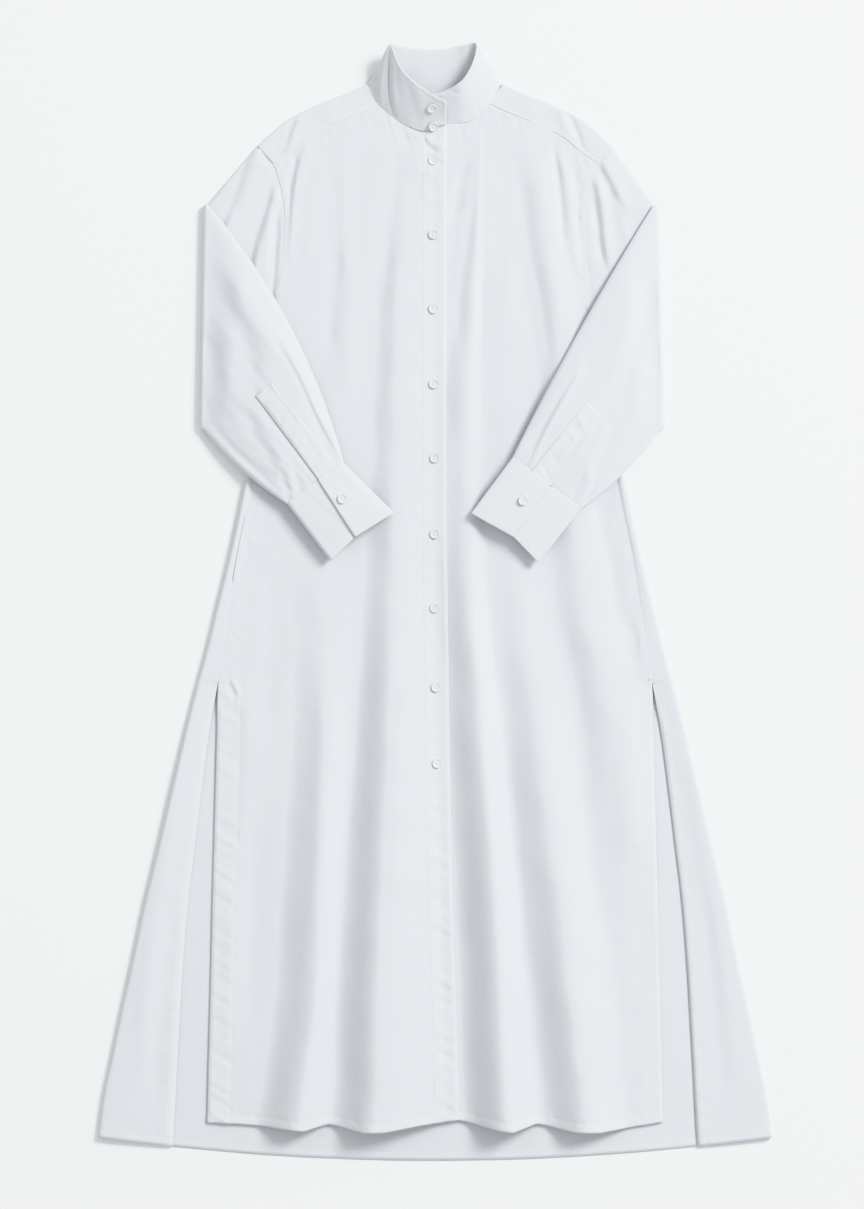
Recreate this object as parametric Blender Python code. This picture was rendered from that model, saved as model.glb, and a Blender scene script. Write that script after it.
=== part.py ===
"""A long white shirt dress, buttoned up and laid flat on its back with its sleeves folded over its front.

The collar points along +Y and +Z is up. The back rests on z = 0, and the origin is on the floor under the
middle of the outline. Right and left are the wearer's, so the right side lies at -X. Tables and functions
are in millimetres, and sheet() turns them into metres. Every piece of cloth is an open sheet at the middle
of its thickness, which a Solidify modifier makes into a wall.
"""

import math
from collections import namedtuple

import bmesh
import bpy
from mathutils import Matrix, Vector

MM = 0.001

# Driving dimensions, in millimetres.
CLOTH = 1.2  # one layer of cloth
DOUBLE = 2.0  # two layers sewn together, as in a band or a pocket bag
SEAM = 0.3  # gap between two pieces that are sewn edge to edge
NECK_SEAM = 1.3  # the same gap under the sloping foot of the collar
YOKE_DROP = 0.4  # the same gap measured down the body, across the sloping yoke seams
BAND_GAP = 0.8  # gap between the left front and the free edge of the band on top
BACK_Z = CLOTH / 2  # middle of the layer on the floor
FRONT_Z = 4.6  # middle of the front where it lies flat
FOLD_R = (FRONT_Z - BACK_Z) / 2  # radius of the fold at the sides and shoulders
FLAT_MID = (FRONT_Z + BACK_Z) / 2
YOKE_SEAM_Y = 470.0  # seam between the yoke and the back, hidden below
UNDERARM_Y = 350.0
FRONT_HEM_Y = -635.0
BACK_HEM_Y = -683.0  # at the middle of the back
HEM_RISE = 28.5  # how much higher the back hem is at the sides
HALF_HEM = 412.5

RIGHT, LEFT = -1, 1
SIDE_NAMES = {RIGHT: "right", LEFT: "left"}

WHITE_COTTON = (0.90, 0.91, 0.92)
SHADED_COTTON = (0.84, 0.85, 0.87)
BUTTON_WHITE = (0.93, 0.93, 0.91)

# The body from the underarms to the hem: half widths at the side fold, at the side edge of the front, and
# at the edge of the back, which comes round the side. The two edges meet in the side seam down to SLIT_Y.
Body = namedtuple("Body", "y fold front_edge back_edge")
SLIT_Y = -95.0
BODY = (
    Body(347, 200.5, 194, 194),
    Body(250, 214, 207, 207),
    Body(138, 235, 226, 226),
    Body(60, 251.5, 242, 242),
    Body(-10, 268.5, 253, 253),
    Body(-58, 280, 259, 259),
    Body(SLIT_Y, 290, 265, 265),
    Body(-156, 305.5, 267, 276),
    Body(-231, 323.5, 269, 286),
    Body(-302, 340, 271, 294.5),
    Body(-364, 355, 272.5, 302),
    Body(-450, 373, 274.5, 309),
    Body(-548, 394, 277, 314.5),
    Body(-610, 406.5, 278.5, 318),
    Body(-655, HALF_HEM, 279.5, 321),
)

# The armhole, from the shoulder to the underarm.
Armhole = namedtuple("Armhole", "y x")
ARMHOLE = (
    Armhole(557.5, 218),
    Armhole(547, 208.3),
    Armhole(537, 199),
    Armhole(519, 192),
    Armhole(496, 186.7),
    Armhole(YOKE_SEAM_Y, 183.8),
    Armhole(440, 185.2),
    Armhole(410, 188),
    Armhole(380, 193),
    Armhole(UNDERARM_Y, 200),
)
FRONT_YOKE_END, BACK_YOKE_END = 2, 5  # the rows of ARMHOLE where the yoke's two seams end

# Half of the yoke from neck to armhole: the shoulder fold, the front seam and the back seam.
Shoulder = namedtuple("Shoulder", "fold_x fold_y front_x front_y back_x")
SHOULDER = (
    Shoulder(83.2, 634.6, 68.0, 610.0, 62),
    Shoulder(111, 622, 90.0, 599.0, 85),
    Shoulder(136, 612.6, 116.3, 588.5, 107),
    Shoulder(158, 603, 137.0, 579.0, 128),
    Shoulder(177.5, 592.5, 157.0, 568.5, 147),
    Shoulder(199, 575, 177.0, 552.0, 166),
    Shoulder(218, 557.5, 199.0, 537.0, 183.8),
)

# The collar, all the way round from its free end on top to the end that is buttoned under it. The foot is
# sewn to the neck, and the rim stands up.
Collar = namedtuple("Collar", "name foot_x foot_y foot_z rim_x rim_y rim_z")
COLLAR = (
    Collar("free end", 13.6, 585.0, 9.4, 13.7, 610.4, 28),
    Collar("top button", -2.4, 581.0, 8.6, -4.6, 620.0, 28),
    Collar("band edge", -18.0, 577.0, 6.6, -21.0, 631.0, 28),
    Collar("front right", -42.8, 588.0, 4.6, -35.5, 643.5, 29),
    Collar("front right", -57.5, 599.0, 4.6, -43.5, 655.0, 30),
    Collar("yoke seam right", -67.3, 609.4, 4.6, -48.2, 666.0, 30),
    Collar("near the right side", -76.0, 621.0, 4.4, -51.7, 675.0, 29),
    Collar("right side", -82.2, 633.6, 2.6, -53.6, 681.6, 26),
    Collar("back right", -70.0, 620.0, 1.3, -43.0, 679.5, 20),
    Collar("back right", -50.0, 609.0, 1.0, -30.0, 677.2, 17),
    Collar("back", -22.0, 603.0, 0.9, -12.0, 675.6, 15),
    Collar("back", 10.0, 602.0, 0.9, 12.0, 676.2, 15),
    Collar("back left", 40.0, 606.0, 1.0, 29.0, 679.6, 17),
    Collar("back left", 62.0, 616.0, 1.3, 41.5, 682.0, 21),
    Collar("left side", 79.4, 634.4, 2.6, 50.0, 681.6, 27),
    Collar("near the left side", 74.0, 622.4, 4.4, 49.2, 668.5, 30),
    Collar("yoke seam left", 67.3, 610.4, 4.6, 44.2, 654.0, 30),
    Collar("front left", 59.0, 599.4, 4.6, 36.6, 640.6, 29),
    Collar("front left", 49.0, 592.0, 4.6, 27.5, 632.0, 27),
    Collar("front left", 37.0, 587.2, 4.6, 14.0, 625.0, 24),
    Collar("button band edge", 15.8, 586.0, 4.6, 1.0, 620.5, 22),
    Collar("buttoned end", -8.0, 585.0, 4.6, -12.0, 619.0, 21),
)
RIGHT_NECK = slice(2, 6)  # rows of COLLAR along the right front, from the band to the yoke
RIGHT_YOKE_NECK = slice(5, 9)
BACK_NECK = slice(8, 14)
LEFT_YOKE_NECK = slice(13, 17)
LEFT_NECK = slice(16, 21)
NECK_CENTRE = (0.0, 622.0)
COLLAR_ROWS = 4

# The long folds of the fronts, from right to left. Each has a steep flank that faces the wearer's right,
# whose place across the body and height are given at each level. It falls away gently to the next flank.
FOLD_LEVELS = (600, 480, 370, 250, 125, 0, -120, -240, -365, -490, -640)
Fold = namedtuple("Fold", "name across height")
FOLDS = (
    Fold(
        "right side panel",
        (-110, -114, -122, -135, -150, -155, -154, -158, -165, -172, -194),
        (0, 0, 2, 1, 0, 3, 8, 13, 17, 21, 25),
    ),
    Fold(
        "beside the buttonhole band",
        (-38, -48, -59, -61, -64, -70, -75, -83, -89, -95, -101),
        (0, 3, 7, 7, 7, 12, 18, 22, 25, 28, 31),
    ),
    Fold(
        "beside the button band",
        (44, 37, 31, 25, 23, 25, 33, 42, 49, 55, 62),
        (0, 3, 6, 7, 7, 13, 18, 22, 26, 29, 31),
    ),
    Fold(
        "left front",
        (74, 73, 73, 74, 78, 86, 102, 115, 129, 142, 160),
        (0, 0, 2, 2, 2, 5, 10, 16, 20, 23, 25),
    ),
    Fold(
        "left side panel",
        (98, 110, 127, 143, 150, 164, 190, 208, 232, 255, 268),
        (0, 4, 7, 7, 7, 8, 8, 5, 2, 0, 0),
    ),
)
FLANK_TOP, FLANK_HEM = 22.0, 42.0  # width of a flank at the chest and at the hem
LAST_FALL = 45.0  # how far the last fold takes to fall flat

# The band of the front opening: where its two edges run.
Band = namedtuple("Band", "y right_edge left_edge")
BAND = (
    Band(600, -15.9, 14.7),
    Band(60, -15.0, 14.9),
    Band(SLIT_Y, -12.5, 17.0),
    Band(-231, -11.0, 19.0),
    Band(-364, -8.8, 22.0),
    Band(-450, -5.0, 24.5),
    Band(-548, -2.4, 27.6),
    Band(-640, 0.0, 29.6),
)

# Both sleeves are a flat tube folded once, along a line down their outer edge, so that the forearm lies on
# the front with the back of the sleeve up. Points are given as (distance from the middle, y).
Sleeve = namedtuple(
    "Sleeve",
    "side fold_top elbow seam_top seam_mid seam_low end_top end_mid end_low bow_top bow_low",
)
SLEEVES = (
    Sleeve(
        RIGHT,
        fold_top=(284.0, 486.5),
        elbow=(288.8, 212.0),
        seam_top=(111.4, 169.5),
        seam_mid=(141.8, 148.3),
        seam_low=(179.3, 119.8),
        end_top=(50.7, 109.2),
        end_mid=(97.9, 79.6),
        end_low=(127.3, 51.4),
        bow_top=20.0,
        bow_low=6.0,
    ),
    Sleeve(
        LEFT,
        fold_top=(273.5, 486.5),
        elbow=(281.5, 212.0),
        seam_top=(94.0, 175.5),
        seam_mid=(139.0, 141.0),
        seam_low=(177.0, 113.8),
        end_top=(44.0, 108.5),
        end_mid=(96.0, 79.6),
        end_low=(125.6, 48.8),
        bow_top=4.5,
        bow_low=6.0,
    ),
)
SLEEVE_HALF = 2.0  # from the middle of the flat tube to the middle of each layer
SLEEVE_TURN_R = 3.3  # radius of the fold, at the middle of the tube
SLEEVE_OUTER = SLEEVE_HALF + CLOTH / 2
UPPER_STEPS = (0.0, 0.33, 0.66, 0.9)  # rings from the armhole to the fold
TURN_STEPS = 4
# Rings from the fold to the cuff: how far along, and the height of the middle of the tube.
Forearm = namedtuple("Forearm", "along z")
FOREARM = (
    Forearm(0.10, 10.2),
    Forearm(0.28, 12.2),
    Forearm(0.46, 14.0),
    Forearm(0.64, 15.6),
    Forearm(0.82, 17.2),
    Forearm(1.0, 18.4),
)
# Round a sleeve: rows of ARMHOLE counted from the shoulder, and the layer, 1 outer and -1 inner.
EDGE_ROUND = ((0.0, 0.0), (0.12, 0.8), (0.35, 1.0))
LAST_ROW = len(ARMHOLE) - 1

# Round a cuff, from the free end that is on top: how far across the sleeve, and the height.
CuffSection = namedtuple("CuffSection", "across z")
CUFF_SECTION = (
    CuffSection(0.50, 3.9),
    CuffSection(0.30, 3.9),
    CuffSection(0.09, 3.7),
    CuffSection(0.02, 2.4),
    CuffSection(0.0, 0.6),
    CuffSection(0.02, -1.2),
    CuffSection(0.08, -2.0),
    CuffSection(0.30, -2.0),
    CuffSection(0.50, -2.0),
    CuffSection(0.92, -2.0),
    CuffSection(0.98, -1.4),
    CuffSection(1.0, 0.0),
    CuffSection(0.98, 1.4),
    CuffSection(0.92, 2.0),
    CuffSection(0.50, 2.0),
    CuffSection(0.26, 2.0),
)
CUFF_Z = 18.4
CUFF_SEAM = 0.008  # gap to the sleeve, as a share of the cuff's depth
CUFF_STEPS = 3

# The placket of a sleeve lies on its outer layer: (along the forearm, across it) at its corners.
PLACKET_TIP, PLACKET_CORNER = (0.45, 0.55), (0.58, 0.36)
PLACKET_SEAM_OUTER, PLACKET_SEAM_INNER = (0.985, 0.44), (0.985, 0.11)
PLACKET_STEPS = 6
ON_CLOTH = 0.5  # gap under a piece that lies on another
BUTTON_GAP = 0.9  # the same gap under a button, whose flat back lies across a curved band

# Pocket bags hang inside, between back and front, from the side seams.
Pocket = namedtuple("Pocket", "y outer inner")
POCKET = (
    Pocket(132, 222, 168),
    Pocket(110, 227, 130),
    Pocket(60, 238, 112),
    Pocket(16, 246, 106),
    Pocket(-60, 240, 104),
    Pocket(-118, 226, 112),
    Pocket(-142, 196, 138),
)

# Buttons down the front: place on the collar or the band.
BUTTON_X = (-3.2, -2.0, -1.9, -1.7, -1.6, -1.2, 0.0, 0.0, 0.0, 1.2, 2.4)
BUTTON_Y = (603.5, 582.5, 541.0, 450.3, 359.3, 267.5, 176.9, 84.0, -6.7, -103.5, -196.5)
BUTTON_R = 5.75
BUTTON_T = 2.4
HOLE_R = 0.75
HOLE_SPACING = 2.5
BUTTON_SIDES = 16
CUFF_BUTTON_ACROSS, CUFF_BUTTON_ALONG = 0.36, 0.42


def material(name, colour, roughness):
    """A plain finish for one piece."""
    made = bpy.data.materials.new(name)
    made.use_nodes = True
    shader = made.node_tree.nodes["Principled BSDF"]
    shader.inputs["Base Color"].default_value = (*colour, 1.0)
    shader.inputs["Roughness"].default_value = roughness
    shader.inputs["Metallic"].default_value = 0.0
    return made


def new_object(name, mesh, colour, roughness=0.85):
    """Put a mesh in the scene as a named piece with its own material."""
    piece = bpy.data.objects.new(name, mesh)
    bpy.context.scene.collection.objects.link(piece)
    mesh.materials.append(material(name, colour, roughness))
    return piece


def sheet(name, grid, thickness=CLOTH, ring=False, colour=WHITE_COTTON):
    """A wall of cloth from rows of points in millimetres. None leaves a hole, and ring joins the row ends."""
    mesh = bpy.data.meshes.new(name)
    shape = bmesh.new()
    rows = [[point and shape.verts.new(Vector(point) * MM) for point in row] for row in grid]
    columns = len(rows[0])
    for low, high in zip(rows, rows[1:]):
        for i in range(columns if ring else columns - 1):
            j = (i + 1) % columns
            corners = (low[i], low[j], high[j], high[i])
            if all(corners):
                shape.faces.new(corners)
    shape.to_mesh(mesh)
    shape.free()
    mesh.shade_smooth()
    mesh.set_sharp_from_angle(angle=math.radians(50))
    piece = new_object(name, mesh, colour)
    wall = piece.modifiers.new("wall", "SOLIDIFY")
    wall.thickness = thickness * MM
    wall.offset = 0.0
    return piece


def mix(a, b, share):
    return a + (b - a) * share


def mix_points(a, b, share):
    return tuple(mix(p, q, share) for p, q in zip(a, b))


def along(rows, y, column):
    """The value of a column of a table at y, straight between rows that run down the body."""
    for upper, lower in zip(rows, rows[1:]):
        if y >= lower.y:
            break
    share = (upper.y - y) / (upper.y - lower.y)
    return mix(getattr(upper, column), getattr(lower, column), min(max(share, 0.0), 1.0))


def ease(share):
    """0 to 1 with soft ends."""
    share = min(max(share, 0.0), 1.0)
    return share * share * (3 - 2 * share)


def at_level(values, y):
    """A value of a fold at y, from its values at FOLD_LEVELS."""
    for i in range(len(FOLD_LEVELS) - 1):
        if y >= FOLD_LEVELS[i + 1]:
            break
    share = (FOLD_LEVELS[i] - y) / (FOLD_LEVELS[i] - FOLD_LEVELS[i + 1])
    return mix(values[i], values[i + 1], min(max(share, 0.0), 1.0))


def lift(x, y):
    """How far the folds raise the front at a point."""
    flank = mix(FLANK_TOP, FLANK_HEM, ease((FOLD_LEVELS[0] - y) / (FOLD_LEVELS[0] - FOLD_LEVELS[-1])))
    centres = [at_level(fold.across, y) for fold in FOLDS]
    height = 0.0
    for i, (fold, centre) in enumerate(zip(FOLDS, centres)):
        crest = centre + flank / 2
        if i + 1 < len(FOLDS):
            foot = centres[i + 1] - flank / 2
        else:
            foot = crest + LAST_FALL
        rise = ease((x - centre + flank / 2) / flank)
        fall = 1 - ease((x - crest) / max(foot - crest, 1.0))
        height += at_level(fold.height, y) * rise * fall
    return height


def front_point(x, y):
    """A point of a front at the middle of its thickness."""
    return (x, y, FRONT_Z + lift(x, y))


def hem_y(x):
    return BACK_HEM_Y + HEM_RISE * (x / HALF_HEM) ** 2


def at_neck(row, gap=NECK_SEAM):
    """The neck edge of a panel at a row of the collar, just outside the collar's foot."""
    away = Vector((row.foot_x - NECK_CENTRE[0], row.foot_y - NECK_CENTRE[1])).normalized() * gap
    return (row.foot_x + away.x, row.foot_y + away.y)


def fold_arc(outline, inward, radius, low_z, steps=3):
    """Points round a fold in flat cloth, from the lower layer to the upper one, inside an outline point."""
    points = []
    for i in range(steps + 1):
        turn = math.pi * i / steps
        inset = CLOTH / 2 + radius * (1 - math.sin(turn))
        points.append((*(outline + inward * inset), low_z + radius * (1 - math.cos(turn))))
    return points


# ---------------------------------------------------------------------------------------------- the body


def make_back():
    """The back, from the yoke seam to its hem, with both sides turned up and over to the side seams."""
    plate = 8  # spaces across the part that lies on the floor
    beside = [None] * 5  # no turned-over side above the underarm
    grid = []
    armhole_rows = [(row.y, row.x) for row in ARMHOLE[BACK_YOKE_END + 1 :]]
    for y, x in [(YOKE_SEAM_Y - SEAM, ARMHOLE[BACK_YOKE_END].x)] + armhole_rows:
        flat = [(mix(-x, x, i / plate), y, BACK_Z) for i in range(plate + 1)]
        grid.append(beside + flat + beside)
    for row in BODY:
        last = row is BODY[-1]
        halves = []
        for side in (RIGHT, LEFT):
            edge = row.back_edge + (SEAM / 2 if row.y >= SLIT_Y else 0)
            arc = fold_arc(Vector((side * row.fold, row.y)), Vector((-side, 0)), FOLD_R, BACK_Z)
            middle = (mix(side * edge, arc[-1][0], 0.5), row.y, FRONT_Z)
            halves.append([(side * edge, row.y, FRONT_Z), middle] + arc[::-1])
        right, left = halves
        start, end = right[-1][0], left[-1][0]
        flat = [(mix(start, end, i / plate), row.y, BACK_Z) for i in range(1, plate)]
        points = right + flat + left[::-1]
        if last:
            points = [(x, hem_y(x), z) for x, _, z in points]
        grid.append(points)
    return sheet("back", grid, colour=SHADED_COTTON)


def make_yoke():
    """The yoke: flat under the collar, and over both shoulders to the front yoke seams."""
    reach = 12.0  # from the shoulder fold to the rows beside it
    neck_rows = COLLAR[BACK_NECK]
    columns = []
    for side in (RIGHT, LEFT):
        half = []
        for i, row in enumerate(SHOULDER):
            fold = Vector((side * row.fold_x, row.fold_y))
            front = Vector((side * row.front_x, row.front_y))
            inward = (front - fold).normalized()
            back_beside = fold + inward * reach
            if i == 0:
                neck = neck_rows[0] if side == RIGHT else neck_rows[-1]
                back_beside = Vector(at_neck(neck))
                yoke_neck = COLLAR[RIGHT_YOKE_NECK if side == RIGHT else LEFT_YOKE_NECK]
                corner = yoke_neck[0] if side == RIGHT else yoke_neck[-1]
                beside = yoke_neck[1] if side == RIGHT else yoke_neck[-2]
                front, front_beside = Vector(at_neck(corner)), Vector(at_neck(beside))
            else:
                front_beside = fold + inward * reach
            seam = Vector((side * row.back_x, YOKE_SEAM_Y))
            back = [seam, seam.lerp(back_beside, 1 / 3), seam.lerp(back_beside, 2 / 3), back_beside]
            if i == len(SHOULDER) - 1:
                rows = ARMHOLE[BACK_YOKE_END : FRONT_YOKE_END - 1 : -1]
                back = [Vector((side * row.x, row.y)) for row in rows]
                front_beside = front.lerp(fold, 0.5)
            half.append(
                [(*point, BACK_Z) for point in back]
                + fold_arc(fold, inward, FOLD_R, BACK_Z)
                + [(*front_beside, FRONT_Z), (*front, FRONT_Z)]
            )
        columns.append(half)
    right, left = columns
    neck_columns = []
    for row in neck_rows[1:-1]:
        x, y = at_neck(row)
        share = (x - right[0][2][0]) / (left[0][2][0] - right[0][2][0])
        seam_x = mix(right[0][0][0], left[0][0][0], share)
        seam, neck = Vector((seam_x, YOKE_SEAM_Y)), Vector((x, y))
        neck_columns.append([(*seam.lerp(neck, i / 3), BACK_Z) for i in range(4)] + [None] * 6)
    return sheet("yoke", right[::-1] + neck_columns + left, colour=SHADED_COTTON)


def front_grid(side, top, centre_column):
    """Rows of one front: top is its upper edge from the armhole to the middle, as (x, y) points."""
    grid = []
    start_y = top[0][1]
    for arm in ARMHOLE[FRONT_YOKE_END:]:
        down = max(start_y - arm.y, 0.0) / (start_y - UNDERARM_Y)
        points = []
        for i, (x, y) in enumerate(top):
            across = i / (len(top) - 1)
            bottom_x = mix(side * ARMHOLE[-1].x, along(BAND, UNDERARM_Y, centre_column), across)
            px = mix(x, bottom_x, down)
            straight = mix(top[0][0], side * ARMHOLE[-1].x, down)
            px += (1 - across) ** 2 * (side * arm.x - straight)
            points.append((px, mix(y, UNDERARM_Y, down)))
        grid.append(points)
    for row in BODY:
        y = max(row.y, FRONT_HEM_Y)
        edge = side * (row.front_edge - (SEAM / 2 if y >= SLIT_Y else 0))
        centre = along(BAND, y, centre_column)
        grid.append([(mix(edge, centre, i / (len(top) - 1)), y) for i in range(len(top))])
    return grid


def with_midpoints(points):
    """The same line of points, with one more halfway along each stretch."""
    finer = [points[0]]
    for a, b in zip(points, points[1:]):
        finer += [mix_points(a, b, 0.5), b]
    return finer


def make_front(side):
    """One front, from the yoke and the neck down to its hem, with its long folds."""
    yoke_edge = [(side * row.front_x, row.front_y - YOKE_DROP) for row in SHOULDER[:0:-1]]
    if side == RIGHT:
        centre_column, gap = "right_edge", SEAM
        neck = [at_neck(row) for row in COLLAR[RIGHT_NECK]][::-1]
    else:
        centre_column, gap = "left_edge", BAND_GAP
        neck = [at_neck(row) for row in COLLAR[LEFT_NECK]]
    centre_x = BAND[0].right_edge if side == RIGHT else BAND[0].left_edge
    neck[0] = (neck[0][0], neck[0][1] - YOKE_DROP)
    neck[-1] = (centre_x, neck[-1][1])
    top = with_midpoints(yoke_edge + neck)
    grid = []
    for row in front_grid(side, top, centre_column):
        x, y = row[-1]
        row[-1] = (x + side * gap, y)
        grid.append([front_point(*point) for point in row])
    return sheet(f"front_{SIDE_NAMES[side]}", grid)


def band_rows():
    """Heights down the front at which the bands have a row of points."""
    return [540, 496, 440, 380] + [max(row.y, FRONT_HEM_Y) for row in BODY]


def make_buttonhole_band():
    """The doubled band on top of the opening, with the buttonholes."""
    above = CLOTH / 2 + ON_CLOTH + DOUBLE / 2
    grid = []
    tops = [at_neck(COLLAR[2]), at_neck(COLLAR[1]), at_neck(COLLAR[0])]
    for k, y in enumerate([None] + band_rows()):
        row = []
        for i in range(3):
            if y is None:
                right_x, left_x = BAND[0].right_edge, BAND[0].left_edge
                x, py = mix(right_x, left_x, i / 2), tops[i][1] - 0.5
            else:
                x, py = mix(along(BAND, y, "right_edge"), along(BAND, y, "left_edge"), i / 2), y
            row.append((x, py, FRONT_Z + lift(x, py) + above))
        grid.append(row)
    return sheet("buttonhole_band", grid, thickness=DOUBLE)


def make_button_band():
    """The band under it, on the edge of the left front, where the buttons are sewn."""
    grid = []
    for y in [None] + band_rows():
        at = BAND[0].y if y is None else y
        right_x = along(BAND, at, "right_edge") + 0.8
        left_x = along(BAND, at, "left_edge") + BAND_GAP - SEAM
        row = []
        for i in range(3):
            x = mix(right_x, left_x, i / 2)
            py = min(at, COLLAR[0].foot_y - 2.0) if y is None else y
            row.append(front_point(x, py))
        grid.append(row)
    return sheet("button_band", grid)


def make_collar():
    """The stand-up collar: one band round the neck whose ends overlap in front."""
    grid = []
    for step in range(COLLAR_ROWS + 1):
        share = step / COLLAR_ROWS
        grid.append(
            [
                mix_points((row.foot_x, row.foot_y, row.foot_z), (row.rim_x, row.rim_y, row.rim_z), share)
                for row in COLLAR
            ]
        )
    return sheet("collar", grid)


def make_pocket(side):
    """A pocket bag inside the body: two layers sewn together, from its opening in the side seam."""
    grid = []
    for row in POCKET:
        grid.append([(side * mix(row.outer, row.inner, i / 4), row.y, FLAT_MID) for i in range(5)])
    return sheet(f"pocket_{SIDE_NAMES[side]}", grid, thickness=DOUBLE, colour=SHADED_COTTON)


# -------------------------------------------------------------------------------------------- the sleeves


def ring_places():
    """(row of ARMHOLE, layer) all round the flat tube, from the shoulder edge."""
    outer = list(EDGE_ROUND) + [(float(i), 1.0) for i in range(1, LAST_ROW)]
    outer += [(LAST_ROW - row, layer) for row, layer in reversed(EDGE_ROUND)]
    return outer + [(row, -layer) for row, layer in outer[-2:0:-1]]


def armhole_point(side, row):
    """A point of the armhole edge of a sleeve, at a row of ARMHOLE."""
    i = min(int(row), LAST_ROW - 1)
    x = mix(ARMHOLE[i].x, ARMHOLE[i + 1].x, row - i) + 2 * SEAM
    return Vector((side * x, mix(ARMHOLE[i].y, ARMHOLE[i + 1].y, row - i)))


def fold_point(sleeve, across, inset):
    x = mix(sleeve.fold_top[0], sleeve.elbow[0], across) - inset
    return Vector((sleeve.side * x, mix(sleeve.fold_top[1], sleeve.elbow[1], across)))


def forearm_plan(sleeve, forward, across, inset):
    """A point of the folded forearm from above. The edges bow outwards a little."""
    start = fold_point(sleeve, across, inset)
    end = Vector(mix_points(sleeve.seam_top, sleeve.seam_low, across))
    end.x *= sleeve.side
    bow = 4 * forward * (1 - forward)
    point = start.lerp(end, forward)
    top_way = Vector((-0.88 * sleeve.side, 0.48)) * sleeve.bow_top * bow * (1 - across) ** 2
    low_way = Vector((0.66 * sleeve.side, -0.75)) * sleeve.bow_low * bow * across**2
    return point + top_way + low_way


def sleeve_rings(sleeve):
    """The middle of the flat tube at each ring, and which way its outer layer faces."""
    inset = SLEEVE_OUTER + SLEEVE_TURN_R
    places = [row for row, _ in ring_places()]
    rings = []
    for step in UPPER_STEPS:
        ring = []
        for row in places:
            plan = armhole_point(sleeve.side, row).lerp(fold_point(sleeve, row / LAST_ROW, inset), step)
            ring.append((Vector((*plan, FLAT_MID)), Vector((0, 0, -1))))
        rings.append(ring)
    for step in range(TURN_STEPS + 1):
        turn = math.pi * step / TURN_STEPS
        ring = []
        for row in places:
            plan = fold_point(sleeve, row / LAST_ROW, inset - SLEEVE_TURN_R * math.sin(turn))
            z = FLAT_MID + SLEEVE_TURN_R * (1 - math.cos(turn))
            facing = Vector((sleeve.side * math.sin(turn), 0, -math.cos(turn)))
            ring.append((Vector((*plan, z)), facing))
        rings.append(ring)
    for row_on in FOREARM:
        ring = []
        for row in places:
            plan = forearm_plan(sleeve, row_on.along * (1 - CUFF_SEAM / 2), row / LAST_ROW, inset)
            ring.append((Vector((*plan, row_on.z)), Vector((0, 0, 1))))
        rings.append(ring)
    return rings


def make_sleeve(sleeve):
    """One sleeve, a flat tube with open ends."""
    layers = [layer for _, layer in ring_places()]
    grid = []
    for ring in sleeve_rings(sleeve):
        grid.append(
            [tuple(middle + facing * SLEEVE_HALF * layer) for (middle, facing), layer in zip(ring, layers)]
        )
    return sheet(f"sleeve_{SIDE_NAMES[sleeve.side]}", grid, ring=True)


def cuff_point(sleeve, forward, across, z):
    """A point of a cuff: forward runs from its seam to its end, across from its inner to its outer edge."""
    if across <= 0.5:
        start = mix_points(sleeve.seam_top, sleeve.seam_mid, across * 2)
        end = mix_points(sleeve.end_top, sleeve.end_mid, across * 2)
    else:
        start = mix_points(sleeve.seam_mid, sleeve.seam_low, across * 2 - 1)
        end = mix_points(sleeve.end_mid, sleeve.end_low, across * 2 - 1)
    x, y = mix_points(start, end, forward)
    return (sleeve.side * x, y, CUFF_Z + z)


def make_cuff(sleeve):
    """One cuff, a flat band whose two ends overlap on top."""
    grid = []
    for step in range(CUFF_STEPS + 1):
        forward = mix(CUFF_SEAM, 1.0, step / CUFF_STEPS)
        grid.append([cuff_point(sleeve, forward, row.across, row.z) for row in CUFF_SECTION])
    return sheet(f"cuff_{SIDE_NAMES[sleeve.side]}", grid)


def forearm_z(forward):
    """Height of the middle of the folded forearm."""
    for low, high in zip(FOREARM, FOREARM[1:]):
        if forward <= high.along:
            break
    return mix(low.z, high.z, (forward - low.along) / (high.along - low.along))


def make_sleeve_placket(sleeve):
    """The placket that finishes the sleeve's opening, lying on its outer layer."""
    inset = SLEEVE_OUTER + SLEEVE_TURN_R
    above = SLEEVE_OUTER + ON_CLOTH + CLOTH / 2
    grid = []
    for step in range(PLACKET_STEPS + 1):
        share = step / PLACKET_STEPS
        outer = mix_points(PLACKET_TIP, PLACKET_SEAM_OUTER, share)
        inner = mix_points(PLACKET_CORNER, PLACKET_SEAM_INNER, share)
        row = []
        for i in range(3):
            forward, across = mix_points(outer, inner, i / 2)
            plan = forearm_plan(sleeve, forward, across, inset)
            row.append((*plan, forearm_z(forward) + above))
        grid.append(row)
    return sheet(f"sleeve_placket_{SIDE_NAMES[sleeve.side]}", grid)


# -------------------------------------------------------------------------------------------- the buttons


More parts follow.
